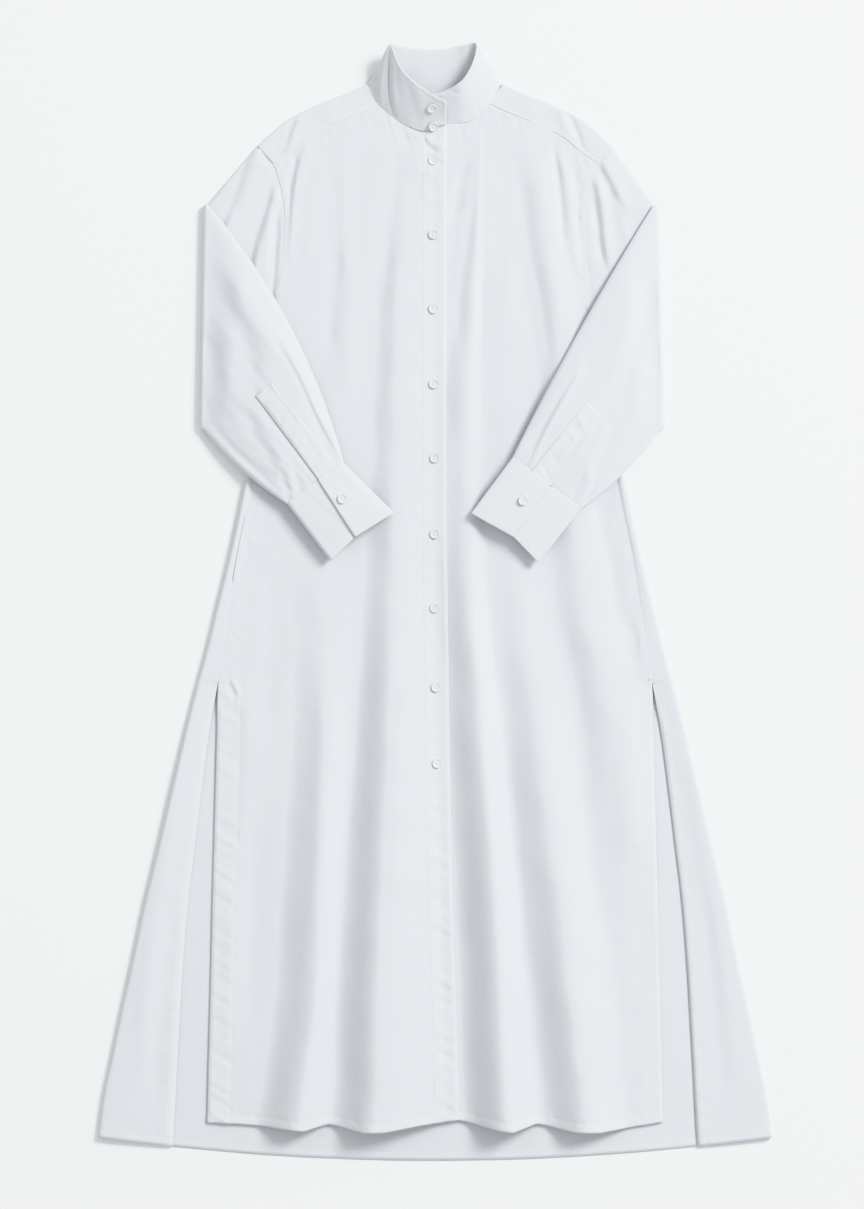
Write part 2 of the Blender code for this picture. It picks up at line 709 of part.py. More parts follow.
def button_mesh():
    """A button with a raised rim, turned about Z, standing on z = 0."""
    profile = (
        (0.0, BUTTON_T * 0.62),
        (BUTTON_R * 0.62, BUTTON_T * 0.62),
        (BUTTON_R * 0.76, BUTTON_T),
        (BUTTON_R * 0.92, BUTTON_T),
        (BUTTON_R, BUTTON_T * 0.62),
        (BUTTON_R * 0.86, 0.0),
        (0.0, 0.0),
    )
    shape = bmesh.new()
    rows = []
    for r, z in profile[1:-1]:
        row = []
        for i in range(BUTTON_SIDES):
            turn = math.tau * i / BUTTON_SIDES
            row.append(shape.verts.new(Vector((r * math.cos(turn), r * math.sin(turn), z)) * MM))
        rows.append(row)
    for outer, inner in zip(rows[1:], rows):
        for i in range(BUTTON_SIDES):
            j = (i + 1) % BUTTON_SIDES
            shape.faces.new((inner[i], outer[i], outer[j], inner[j]))
    shape.faces.new(rows[0])
    shape.faces.new(rows[-1][::-1])
    mesh = bpy.data.meshes.new("button")
    shape.to_mesh(mesh)
    shape.free()
    return mesh


def hole_cutter():
    """Four pins through a button, which cut its holes."""
    shape = bmesh.new()
    half = HOLE_SPACING / 2 * MM
    for x in (-half, half):
        for y in (-half, half):
            bmesh.ops.create_cone(
                shape,
                cap_ends=True,
                segments=6,
                radius1=HOLE_R * MM,
                radius2=HOLE_R * MM,
                depth=3 * BUTTON_T * MM,
                matrix=Matrix.Translation((x, y, BUTTON_T / 2 * MM)),
            )
    mesh = bpy.data.meshes.new("button_holes")
    shape.to_mesh(mesh)
    shape.free()
    cutter = bpy.data.objects.new("button_holes", mesh)
    bpy.context.scene.collection.objects.link(cutter)
    cutter.hide_render = True
    cutter.display_type = "WIRE"
    return cutter


def drilled_button_mesh():
    """The button's mesh with its four holes cut, shared by every button."""
    blank = bpy.data.objects.new("button_blank", button_mesh())
    bpy.context.scene.collection.objects.link(blank)
    cutter = hole_cutter()
    cut = blank.modifiers.new("holes", "BOOLEAN")
    cut.operation = "DIFFERENCE"
    cut.object = cutter
    bpy.context.view_layer.update()
    graph = bpy.context.evaluated_depsgraph_get()
    drilled = bpy.data.meshes.new_from_object(blank.evaluated_get(graph))
    drilled.name = "drilled_button"
    for helper in (blank, cutter):
        bpy.data.objects.remove(helper)
    drilled.shade_smooth()
    drilled.set_sharp_from_angle(angle=math.radians(35))
    return drilled


def place_button(name, drilled, corner, right, up):
    """A button on cloth: corner, right and up are three points of the cloth's top under it."""
    corner, right, up = Vector(corner), Vector(right), Vector(up)
    normal = (right - corner).cross(up - corner).normalized()
    piece = new_object(name, drilled.copy(), BUTTON_WHITE, roughness=0.3)
    turn = Vector((0, 0, 1)).rotation_difference(normal)
    piece.rotation_mode = "QUATERNION"
    piece.rotation_quaternion = turn
    piece.location = (corner + normal * BUTTON_GAP) * MM
    return piece


def band_top(x, y):
    above = CLOTH / 2 + ON_CLOTH + DOUBLE
    return (x, y, FRONT_Z + lift(x, y) + above)


def collar_top(x, y):
    """A point on the outside of the collar's free end, near the buttons."""
    end, inner = COLLAR[0], COLLAR[1]
    share = (end.foot_x - x) / (end.foot_x - inner.foot_x)
    foot = mix_points(end[1:4], inner[1:4], share)
    rim = mix_points(end[4:7], inner[4:7], share)
    up = (y - foot[1]) / (rim[1] - foot[1])
    return (x, y, mix(foot[2], rim[2], up) + CLOTH)


def make_buttons():
    """Eleven buttons down the front, the second over the collar's seam, and one on each cuff."""
    drilled = drilled_button_mesh()
    for i, (x, y) in enumerate(zip(BUTTON_X, BUTTON_Y)):
        top = collar_top if i < 2 else band_top
        place_button(f"button_{i + 1:02d}", drilled, top(x, y), top(x + 4, y), top(x, y + 4))
    for sleeve in SLEEVES:
        place = Vector(cuff_point(sleeve, CUFF_BUTTON_ALONG, CUFF_BUTTON_ACROSS, 3.9 + CLOTH / 2))
        name = f"cuff_button_{SIDE_NAMES[sleeve.side]}"
        place_button(name, drilled, place, place + Vector((1, 0, 0)), place + Vector((0, 1, 0)))


def main():
    for old in list(bpy.data.objects):
        bpy.data.objects.remove(old)
    make_back()
    make_yoke()
    for side in (RIGHT, LEFT):
        make_front(side)
        make_pocket(side)
    make_buttonhole_band()
    make_button_band()
    make_collar()
    for sleeve in SLEEVES:
        make_sleeve(sleeve)
        make_cuff(sleeve)
        make_sleeve_placket(sleeve)
    make_buttons()


main()
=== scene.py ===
# %% [markdown]
# # A long white shirt dress, laid flat
# The dress lies on its back with its sleeves folded over its front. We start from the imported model, whose
# pieces are plain walls, and make a finer sheet of cloth for each of them: the same outline, with the soft
# folds, puckers and stitching of real poplin. Tables and helpers are in millimetres, +Y points to the collar
# and +Z up. Right and left are the wearer's, so the right side lies at -X.

# %% Load the frame
import math
from collections import namedtuple

import bmesh
import bpy
import numpy as np
from mathutils import Matrix, Vector


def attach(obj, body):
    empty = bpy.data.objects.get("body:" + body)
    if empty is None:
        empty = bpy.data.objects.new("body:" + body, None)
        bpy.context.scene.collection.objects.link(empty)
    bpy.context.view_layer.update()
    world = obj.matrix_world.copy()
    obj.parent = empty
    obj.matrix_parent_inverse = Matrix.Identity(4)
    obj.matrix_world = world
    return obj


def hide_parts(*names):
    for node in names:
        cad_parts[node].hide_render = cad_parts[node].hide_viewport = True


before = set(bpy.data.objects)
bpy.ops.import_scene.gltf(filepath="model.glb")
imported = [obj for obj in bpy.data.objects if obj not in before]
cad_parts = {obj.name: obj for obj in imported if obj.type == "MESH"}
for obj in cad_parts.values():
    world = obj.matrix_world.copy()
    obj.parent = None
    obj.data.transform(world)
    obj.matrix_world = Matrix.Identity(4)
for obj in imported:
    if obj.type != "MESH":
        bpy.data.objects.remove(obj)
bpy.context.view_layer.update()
bpy.ops.object.select_all(action="DESELECT")
MM = 0.001
RIGHT, LEFT = -1, 1
SIDE_NAMES = {RIGHT: "right", LEFT: "left"}
print("nodes to dress:", len(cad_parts))

# %% [markdown]
# ## Sizes of the dress
# The outline and the long folds are short tables, one row for each place that shapes them. They are the same
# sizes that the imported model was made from, so each fine sheet lies on its plain solid.

# %% Sizes of the body
CLOTH = 0.7  # one layer of poplin, a little thicker than real so that its edges show
SMALL_DOUBLE = 0.9  # two layers of a small flat strip
STIFF_DOUBLE = 1.0  # two layers with the collar's or a cuff's stiffening
DOUBLE = 1.2  # two layers sewn together
BACK_Z = 0.6
FRONT_Z = 4.6
FOLD_R = (FRONT_Z - BACK_Z) / 2
FLAT_MID = (FRONT_Z + BACK_Z) / 2
YOKE_SEAM_Y, UNDERARM_Y, SLIT_Y = 470.0, 350.0, -95.0
FRONT_HEM_Y, BACK_HEM_Y, HEM_RISE, HALF_HEM = -635.0, -683.0, 28.5, 412.5
NECK_SEAM = 0.35  # from the collar's foot to the panels behind the neck
UNDER_COLLAR = -2.2  # in front the panels run on under it
UNDERLAP = 4.0  # how far a sewn edge runs on under its neighbour
SUNK = 0.25  # how much lower it lies there
FOLD_INSET = 0.4  # from the outline of the plain model to the outside of a side fold

Body = namedtuple("Body", "y fold front_edge back_edge")
BODY = (
    Body(347, 200.5, 194, 194),
    Body(250, 214, 207, 207),
    Body(138, 235, 226, 226),
    Body(60, 251.5, 242, 242),
    Body(-10, 268.5, 253, 253),
    Body(-58, 280, 259, 259),
    Body(SLIT_Y, 290, 265, 265),
    Body(-156, 305.5, 267, 276),
    Body(-231, 323.5, 269, 286),
    Body(-302, 340, 271, 294.5),
    Body(-364, 355, 272.5, 302),
    Body(-450, 373, 274.5, 309),
    Body(-548, 394, 277, 314.5),
    Body(-610, 406.5, 278.5, 318),
    Body(-655, HALF_HEM, 279.5, 321),
)
Armhole = namedtuple("Armhole", "y x")
ARMHOLE = (
    Armhole(557.5, 218),
    Armhole(547, 208.3),
    Armhole(537, 199),
    Armhole(519, 192),
    Armhole(496, 186.7),
    Armhole(YOKE_SEAM_Y, 183.8),
    Armhole(440, 185.2),
    Armhole(410, 188),
    Armhole(380, 193),
    Armhole(UNDERARM_Y, 200),
)
LAST_ROW = len(ARMHOLE) - 1
Shoulder = namedtuple("Shoulder", "fold_x fold_y front_x front_y back_x")
SHOULDER = (
    Shoulder(83.2, 634.6, 68.0, 610.0, 62),
    Shoulder(111, 622, 90.0, 599.0, 85),
    Shoulder(136, 612.6, 116.3, 588.5, 107),
    Shoulder(158, 603, 137.0, 579.0, 128),
    Shoulder(177.5, 592.5, 157.0, 568.5, 147),
    Shoulder(199, 575, 177.0, 552.0, 166),
    Shoulder(218, 557.5, 199.0, 537.0, 183.8),
)
Collar = namedtuple("Collar", "foot_x foot_y foot_z rim_x rim_y rim_z")
COLLAR = (
    Collar(13.6, 585.0, 9.4, 13.7, 610.4, 29),
    Collar(-2.4, 581.0, 8.6, -4.6, 620.0, 31),
    Collar(-18.0, 577.0, 6.6, -21.0, 631.0, 34),
    Collar(-42.8, 588.0, 4.6, -35.5, 643.5, 37),
    Collar(-57.5, 599.0, 4.6, -43.5, 655.0, 38),
    Collar(-67.3, 609.4, 4.6, -48.2, 666.0, 38),
    Collar(-76.0, 621.0, 4.4, -51.7, 675.0, 35),
    Collar(-82.2, 633.6, 2.6, -53.6, 681.6, 29),
    Collar(-70.0, 620.0, 1.3, -43.0, 679.5, 20),
    Collar(-50.0, 609.0, 1.0, -30.0, 677.2, 17),
    Collar(-22.0, 603.0, 0.9, -12.0, 675.6, 15),
    Collar(10.0, 602.0, 0.9, 12.0, 676.2, 15),
    Collar(40.0, 606.0, 1.0, 29.0, 679.6, 17),
    Collar(62.0, 616.0, 1.3, 41.5, 682.0, 21),
    Collar(79.4, 634.4, 2.6, 50.0, 681.6, 26),
    Collar(74.0, 622.4, 4.4, 49.2, 668.5, 29),
    Collar(67.3, 610.4, 4.6, 44.2, 654.0, 30),
    Collar(59.0, 599.4, 4.6, 36.6, 640.6, 30),
    Collar(49.0, 592.0, 4.6, 27.5, 632.0, 29),
    Collar(37.0, 587.2, 4.6, 14.0, 625.0, 24),
    Collar(15.8, 586.0, 4.6, 1.0, 620.5, 22),
    Collar(-8.0, 585.0, 4.6, -12.0, 619.0, 21),
)
NECK_CENTRE = (0.0, 622.0)
BEHIND = slice(8, 14)  # the collar's rows behind the neck
Band = namedtuple("Band", "y right_edge left_edge")
BAND = (
    Band(600, -15.9, 14.7),
    Band(60, -15.0, 14.9),
    Band(SLIT_Y, -12.5, 17.0),
    Band(-231, -11.0, 19.0),
    Band(-364, -8.8, 22.0),
    Band(-450, -5.0, 24.5),
    Band(-548, -2.4, 27.6),
    Band(-640, 0.0, 29.6),
)
print("length without the collar:", SHOULDER[0].fold_y - BACK_HEM_Y, "mm")

# %% Sizes of the long folds
FOLD_LEVELS = (600, 480, 370, 250, 125, 0, -120, -240, -365, -490, -640)
Fold = namedtuple("Fold", "name across height")
FOLDS = (
    Fold(
        "right side panel",
        (-110, -114, -122, -135, -150, -155, -154, -158, -165, -172, -194),
        (0, 0, 2, 1, 0, 3, 8, 13, 17, 21, 25),
    ),
    Fold(
        "beside the buttonhole band",
        (-38, -48, -59, -61, -64, -70, -75, -83, -89, -95, -101),
        (0, 3, 7, 7, 7, 12, 18, 22, 25, 28, 31),
    ),
    Fold(
        "beside the button band",
        (44, 37, 31, 25, 23, 25, 33, 42, 49, 55, 62),
        (0, 3, 6, 7, 7, 13, 18, 22, 26, 29, 31),
    ),
    Fold(
        "left front",
        (74, 73, 73, 74, 78, 86, 102, 115, 129, 142, 160),
        (0, 0, 2, 2, 2, 5, 10, 16, 20, 23, 25),
    ),
    Fold(
        "left side panel",
        (98, 110, 127, 143, 150, 164, 190, 208, 232, 255, 268),
        (0, 4, 7, 7, 7, 8, 8, 5, 2, 0, 0),
    ),
)
FLANK_TOP, FLANK_HEM, LAST_FALL = 26.0, 52.0, 52.0  # how wide a fold's steep side is, and the last one's fall
FOLD_SHARE = 0.9  # of the height that the plain model gives a fold
print("long folds:", len(FOLDS))

# %% Sizes of the sleeves and cuffs
Sleeve = namedtuple(
    "Sleeve",
    "side fold_top elbow seam_top seam_mid seam_low end_top end_mid end_low bow_top bow_low",
)
SLEEVES = (
    Sleeve(
        RIGHT,
        fold_top=(284.0, 486.5),
        elbow=(288.8, 212.0),
        seam_top=(111.4, 169.5),
        seam_mid=(141.8, 148.3),
        seam_low=(179.3, 119.8),
        end_top=(50.7, 109.2),
        end_mid=(97.9, 79.6),
        end_low=(127.3, 51.4),
        bow_top=20.0,
        bow_low=6.0,
    ),
    Sleeve(
        LEFT,
        fold_top=(273.5, 486.5),
        elbow=(281.5, 212.0),
        seam_top=(94.0, 175.5),
        seam_mid=(139.0, 141.0),
        seam_low=(177.0, 113.8),
        end_top=(44.0, 108.5),
        end_mid=(96.0, 79.6),
        end_low=(125.6, 48.8),
        bow_top=4.5,
        bow_low=6.0,
    ),
)
SLEEVE_HALF, SLEEVE_TURN_R = 2.0, 3.3
SLEEVE_INSET = SLEEVE_HALF + 0.6 + SLEEVE_TURN_R
FOREARM_ALONG = (0.0, 0.10, 0.28, 0.46, 0.64, 0.82, 1.0)
FOREARM_Z = (9.2, 10.2, 12.2, 14.0, 15.6, 17.2, 18.4)
CUFF_Z = 18.4
FOREARM_PUFF = {RIGHT: 8.0, LEFT: 4.5}  # at the highest line, which is near the upper edge
CUFF_PUFF = {RIGHT: 4.0, LEFT: 1.8}  # along the cuff's opening
CuffSection = namedtuple("CuffSection", "across z")
CUFF_SECTION = (
    CuffSection(0.50, 3.9),
    CuffSection(0.30, 3.9),
    CuffSection(0.09, 3.7),
    CuffSection(0.02, 2.4),
    CuffSection(0.0, 0.6),
    CuffSection(0.02, -1.2),
    CuffSection(0.08, -2.0),
    CuffSection(0.30, -2.0),
    CuffSection(0.50, -2.0),
    CuffSection(0.92, -2.0),
    CuffSection(0.98, -1.4),
    CuffSection(1.0, 0.0),
    CuffSection(0.98, 1.4),
    CuffSection(0.92, 2.0),
    CuffSection(0.50, 2.0),
    CuffSection(0.26, 2.0),
)
SleevePlacket = namedtuple("SleevePlacket", "tip corner outer_end inner_end")
SLEEVE_PLACKETS = {
    RIGHT: SleevePlacket(tip=(-219, 252), corner=(-199, 267), outer_end=(-138, 144), inner_end=(-116, 162)),
    LEFT: SleevePlacket(tip=(201, 232), corner=(184, 243), outer_end=(135, 135), inner_end=(114, 156)),
}
Pocket = namedtuple("Pocket", "y outer inner")
POCKET = (
    Pocket(132, 222, 168),
    Pocket(110, 227, 130),
    Pocket(60, 238, 112),
    Pocket(16, 246, 106),
    Pocket(-60, 240, 104),
    Pocket(-118, 226, 112),
    Pocket(-142, 196, 138),
)
BUTTON_X = (-3.2, -2.0, -1.9, -1.7, -1.6, -1.2, 0.0, 0.0, 0.0, 1.2, 2.4)
BUTTON_Y = (603.5, 582.5, 541.0, 450.3, 359.3, 267.5, 176.9, 84.0, -6.7, -103.5, -196.5)
BUTTON_R, BUTTON_T, BUTTON_GAP = 5.75, 2.4, 0.9
HOLE_R, HOLE_SPACING = 0.75, 2.5
BUTTONHOLE_LENGTH, BUTTONHOLE_SHIFT = 14.0, 1.6  # it reaches further out than its button
CUFF_BUTTON_ACROSS, CUFF_BUTTON_ALONG = 0.36, 0.42
print("buttons:", len(BUTTON_Y) + len(SLEEVES))

# %% [markdown]
# ## The camera
# The dress is seen from straight above, from far enough away that its raised parts stay in their places.

# %% Camera
CAMERA_HEIGHT = 6.0  # metres
SEEN_LENGTH = 1.48  # metres of floor that the camera sees, from beyond the collar to beyond the hem
camera_data = bpy.data.cameras.new("camera")
camera_data.sensor_width = 36.0
camera_data.lens = 36.0 * CAMERA_HEIGHT / SEEN_LENGTH
camera = bpy.data.objects.new("camera", camera_data)
camera.location = (-0.0037, -0.0024, CAMERA_HEIGHT)
bpy.context.scene.collection.objects.link(camera)
bpy.context.scene.camera = camera
print("lens:", round(camera_data.lens, 1), "mm")

# %% [markdown]
# ## Helpers that draw smooth lines and sheets
# A sheet of cloth is a grid of points. We could sculpt it, but a grid that is worked out from the tables
# keeps every seam where it belongs. `smooth_line` reads a table at any place, with soft turns at its rows,
# and `refine` does the same in both directions of a coarse grid.


# %% Smooth lines
def smooth_line(knots, values, at, corners=()):
    """Values at new places, smooth through the given ones. A corner's index keeps it sharp."""
    knots, values = np.asarray(knots, float), np.asarray(values, float)
    at = np.asarray(at, float)
    shape, at = at.shape, at.ravel()
    flat = values.reshape(len(knots), -1)
    slopes = np.diff(flat, axis=0) / np.diff(knots)[:, None]
    arriving = np.vstack([slopes[:1], slopes])
    leaving = np.vstack([slopes, slopes[-1:]])
    middle = (arriving + leaving) / 2
    for corner in range(len(knots)):
        if corner not in corners:
            arriving[corner] = leaving[corner] = middle[corner]
    cell = np.clip(np.searchsorted(knots, at, side="right") - 1, 0, len(knots) - 2)
    width = (knots[cell + 1] - knots[cell])[:, None]
    t = np.clip((at - knots[cell])[:, None] / width, 0.0, 1.0)
    made = (
        (2 * t**3 - 3 * t**2 + 1) * flat[cell]
        + (t**3 - 2 * t**2 + t) * width * leaving[cell]
        + (3 * t**2 - 2 * t**3) * flat[cell + 1]
        + (t**3 - t**2) * width * arriving[cell + 1]
    )
    return made.reshape(shape + values.shape[1:])


def refine(grid, row_at, column_at, row_corners=(), column_corners=()):
    """A finer grid through the points of a coarse one."""
    grid = np.asarray(grid, float)
    tall = smooth_line(range(len(grid)), grid, row_at, row_corners)
    wide = smooth_line(range(grid.shape[1]), tall.transpose(1, 0, 2), column_at, column_corners)
    return wide.transpose(1, 0, 2)


def cells(*counts):
    """Places along a coarse grid, with so many steps in each of its cells."""
    return np.concatenate([i + np.arange(n) / n for i, n in enumerate(counts)] + [[len(counts)]])


def mix(a, b, share):
    """From a to b."""
    return a + (b - a) * share


def ease(share):
    """0 to 1 with soft ends."""
    share = np.clip(share, 0.0, 1.0)
    return share * share * (3 - 2 * share)


def bump_at(value, place, width):
    """1 where the value is at its place, and softly less away from it."""
    return np.exp(-(((value - place) / width) ** 2))


def column_of(rows, name):
    """One column of a table."""
    return np.array([getattr(row, name) for row in rows], float)


def down_table(rows, y, name):
    """A column of a table whose rows run down the dress, at y."""
    return smooth_line(-column_of(rows, "y"), column_of(rows, name), -np.asarray(y, float))


print("helper check, halfway between two rows:", float(down_table(BODY, 194.0, "fold")))

# %% [markdown]
# ## Creases, ripples and long folds
# Cloth that lies still is never smooth. A crease is a soft ridge or trough along a route: it fades out at
# both ends and may be steeper on one side. Ripples are the small uneven waves that a seam draws up, made of
# a few waves of different lengths so that no two are alike.

# %% Creases and ripples
Crease = namedtuple("Crease", "height right_width left_width route")


def ripple(t, seed, longest, shortest, waves=4):
    """An uneven wave between about -1 and 1."""
    draw = np.random.default_rng(seed)
    total = np.zeros_like(t, dtype=float)
    for length in np.geomspace(longest, shortest, waves):
        turn = draw.uniform(0, math.tau)
        total = total + np.sin(t * math.tau / (length * draw.uniform(0.85, 1.15)) + turn)
    return total / math.sqrt(waves * 2)


def crease_height(x, y, creases):
    """How far the creases raise or lower the cloth at each point."""
    total = np.zeros_like(x)
    for crease in creases:
        reach = 3 * max(crease.right_width, crease.left_width)
        knots = np.arange(len(crease.route))
        route = smooth_line(knots, crease.route, np.linspace(0, knots[-1], 5 * len(knots)))
        low, high = route.min(0) - reach, route.max(0) + reach
        near = (x > low[0]) & (x < high[0]) & (y > low[1]) & (y < high[1])
        if not near.any():
            continue
        px, py = x[near], y[near]
        best = np.full(px.shape, np.inf)
        signed, along = np.zeros_like(px), np.zeros_like(px)
        steps = np.diff(route, axis=0)
        sizes = np.maximum(np.hypot(steps[:, 0], steps[:, 1]), 1e-6)
        starts = np.concatenate([[0], np.cumsum(sizes)])
        for (ax, ay), (sx, sy), size, start in zip(route, steps, sizes, starts):
            share = np.clip(((px - ax) * sx + (py - ay) * sy) / size**2, 0, 1)
            away = np.hypot(px - ax - share * sx, py - ay - share * sy)
            nearer = away < best
            best[nearer] = away[nearer]
            signed[nearer] = ((py - ay) * sx - (px - ax) * sy)[nearer]
            along[nearer] = ((start + share * size) / starts[-1])[nearer]
        width = np.where(signed < 0, crease.right_width, crease.left_width)
        fade = ease(np.minimum(along, 1 - along) / 0.22)
        total[near] += crease.height * np.exp(-((best / width) ** 2)) * fade
    return total


def lift(x, y):
    """How far the long folds raise the front: steep on the wearer's right, gentle on the left."""
    levels = -np.array(FOLD_LEVELS, float)
    flank = mix(FLANK_TOP, FLANK_HEM, ease((600 - y) / 1240))
    centres = [
        smooth_line(levels, np.array(fold.across, float), -y) + 1.4 * ripple(y, i, 420, 130)
        for i, fold in enumerate(FOLDS)
    ]
    height = np.zeros_like(x)
    for i, (fold, centre) in enumerate(zip(FOLDS, centres)):
        crest = centre + flank / 2
        foot = centres[i + 1] - flank / 2 if i + 1 < len(FOLDS) else crest + LAST_FALL
        rise = ease((x - centre + flank / 2) / flank)
        fall = 1 - ease((x - crest) / np.maximum(foot - crest, 1.0))
        tall = FOLD_SHARE * smooth_line(levels, np.array(fold.height, float), -y)
        tall = tall + 0.9 * ripple(y, 20 + i, 300, 90) * ease((450 - y) / 200)
        height = height + np.maximum(tall, 0) * rise * fall
    return height


# Creases of both fronts: from the shoulders to the waist first, then beside the slits and between the long
# folds. A route runs down the dress, and the widths are on the wearer's right and left of it.
BODY_CREASES = (
    Crease(2.0, 4, 12, ((-154, 566), (-166, 530), (-172, 493), (-179, 455), (-186, 410))),
    Crease(-1.6, 5, 4, ((-166, 562), (-176, 515), (-182, 470), (-188, 430))),
    Crease(1.2, 9, 14, ((-140, 560), (-150, 490), (-158, 400))),
    Crease(1.2, 12, 20, ((-60, 575), (-75, 500), (-84, 400))),
    Crease(-1.3, 10, 12, ((-40, 560), (-52, 480), (-62, 380))),
    Crease(1.2, 8, 9, ((-32, 566), (-24, 545), (-19, 520))),
    Crease(-1.1, 6, 7, ((-38, 575), (-31, 556), (-25, 536))),
    Crease(1.2, 9, 16, ((-112, 560), (-110, 480), (-106, 380))),
    Crease(-1.5, 9, 9, ((-118, 450), (-124, 380), (-131, 290))),
    Crease(1.1, 7, 14, ((-98, 420), (-104, 330), (-112, 240))),
    Crease(-1.7, 6, 8, ((41, 545), (30, 510), (22, 460))),
    Crease(-1.8, 7, 9, ((52, 510), (44, 470), (34, 400), (28, 310))),
    Crease(1.5, 7, 16, ((62, 560), (56, 480), (52, 380))),
    Crease(-2.0, 8, 12, ((100, 556), (108, 490), (118, 430), (135, 343), (144, 270))),
    Crease(1.6, 9, 14, ((124, 560), (134, 480), (146, 390), (158, 320))),
    Crease(-2.2, 3.6, 5, ((139, 580), (146, 548), (153, 490), (158, 420))),
    Crease(1.8, 6, 7, ((150, 566), (162, 510), (170, 440), (176, 390))),
    Crease(-1.3, 5, 6, ((168, 540), (176, 490), (181, 430))),
    Crease(-1.4, 12, 18, ((-205, 60), (-200, 0), (-204, -90), (-215, -180))),
    Crease(1.3, 12, 20, ((-232, -90), (-226, -170), (-232, -300))),
    Crease(-1.6, 14, 20, ((-214, -200), (-222, -330), (-232, -520))),
    Crease(1.2, 12, 14, ((-246, -330), (-247, -430), (-252, -560))),
    Crease(-2.2, 9, 14, ((192, 140), (208, 81), (217, 40), (224, -23))),
    Crease(1.4, 10, 12, ((206, 120), (221, 70), (230, 20), (234, -30))),
    Crease(-1.4, 12, 12, ((226, -6), (237, -36), (243, -84))),
    Crease(1.2, 14, 18, ((232, -110), (236, -220), (244, -330))),
    Crease(-1.6, 12, 18, ((246, -260), (252, -380), (256, -500))),
    Crease(1.3, 12, 20, ((-36, -60), (-42, -200), (-48, -400))),
    Crease(-1.2, 9, 12, ((4, -180), (8, -320), (6, -520))),
    Crease(1.4, 12, 22, ((98, -120), (112, -280), (124, -460))),
    Crease(-1.3, 10, 14, ((170, -60), (184, -220), (192, -420))),
    Crease(1.3, 10, 18, ((-136, -80), (-140, -240), (-148, -420))),
    Crease(1.3, 3, 4, ((-249, -92), (-243, -106), (-239, -118))),
    Crease(-1.0, 3, 4, ((-257, -90), (-249, -106), (-243, -122))),
    Crease(-1.8, 3.5, 4.5, ((-251, 64), (-248, 50), (-252, 20), (-256, 2))),
)


def front_height(x, y):
    """The middle of the front's cloth, before hems and puckers."""
    return FRONT_Z + lift(x, y) + crease_height(x, y, BODY_CREASES)


print("highest fold at the hem:", round(float(lift(np.array([-80.0]), np.array([-620.0]))[0]), 1), "mm")

# %% [markdown]
# ## Poplin and thread
# Poplin is a fine plain weave, dense and almost matt. Its threads are a third of a millimetre apart, and a
# few of them are a little thicker, which gives the cloth its faint streaks. One node group makes both the
# weave and the streaks from a UV map that is in metres along the cloth, and the poplin finish uses it with a
# strength of its own. The part of the cloth that is doubled lets less light through, so it looks slightly
# whiter.


# %% Weave group
def add_node(tree, kind, inputs=None, **settings):
    """A new node with its own settings and with the values of its inputs."""
    made = tree.nodes.new(kind)
    for name, value in settings.items():
        setattr(made, name, value)
    for name, value in (inputs or {}).items():
        made.inputs[name].default_value = value
    return made


def make_weave_group():
    """Height of the threads, and a mask of the thicker ones."""
    group = bpy.data.node_groups.new("plain weave", "ShaderNodeTree")
    group.interface.new_socket("Along the cloth", in_out="INPUT", socket_type="NodeSocketVector")
    pitch = group.interface.new_socket("Threads per metre", in_out="INPUT", socket_type="NodeSocketFloat")
    pitch.default_value = 3000.0
    group.interface.new_socket("Height", in_out="OUTPUT", socket_type="NodeSocketFloat")
    group.interface.new_socket("Slub", in_out="OUTPUT", socket_type="NodeSocketFloat")
    links = group.links
    inside, outside = add_node(group, "NodeGroupInput"), add_node(group, "NodeGroupOutput")
    apart = add_node(group, "ShaderNodeSeparateXYZ")
    links.new(inside.outputs["Along the cloth"], apart.inputs[0])
    waves = []
    for axis in ("X", "Y"):
        turn = add_node(group, "ShaderNodeMath", operation="MULTIPLY")
        links.new(apart.outputs[axis], turn.inputs[0])
        links.new(inside.outputs["Threads per metre"], turn.inputs[1])
        wave = add_node(group, "ShaderNodeMath", operation="SINE")
        links.new(turn.outputs[0], wave.inputs[0])
        waves.append(wave)
    weave = add_node(group, "ShaderNodeMath", operation="MULTIPLY")
    links.new(waves[0].outputs[0], weave.inputs[0])
    links.new(waves[1].outputs[0], weave.inputs[1])
    streaks = []
    for name, stretch in (("warp slubs", (900.0, 26.0, 1.0)), ("weft slubs", (30.0, 900.0, 1.0))):
        mapping = add_node(group, "ShaderNodeMapping", {"Scale": stretch}, name=name)
        links.new(inside.outputs["Along the cloth"], mapping.inputs["Vector"])
        noise = add_node(group, "ShaderNodeTexNoise", {"Scale": 1.0, "Detail": 2.0})
        links.new(mapping.outputs[0], noise.inputs["Vector"])
        streaks.append(noise)
    slub = add_node(group, "ShaderNodeMath", operation="ADD")
    links.new(streaks[0].outputs["Fac"], slub.inputs[0])
    links.new(streaks[1].outputs["Fac"], slub.inputs[1])
    half = add_node(group, "ShaderNodeMath", {1: 0.5}, operation="MULTIPLY")
    links.new(slub.outputs[0], half.inputs[0])
    links.new(half.outputs[0], outside.inputs["Slub"])
    height = add_node(group, "ShaderNodeMath", {1: 0.35}, operation="MULTIPLY_ADD")
    links.new(weave.outputs[0], height.inputs[0])
    links.new(half.outputs[0], height.inputs[2])
    links.new(height.outputs[0], outside.inputs["Height"])
    return group


weave_group = make_weave_group()
print("weave group:", [socket.name for socket in weave_group.interface.items_tree])


# %% Finishes
THREAD_WAVE = 0.00066  # metres of cloth for two threads, one over and one under


def new_finish(name):
    """A material, with its node tree, its shader and the links between them."""
    made = bpy.data.materials.new(name)
    made.use_nodes = True
    tree = made.node_tree
    return made, tree, tree.nodes["Principled BSDF"], tree.links


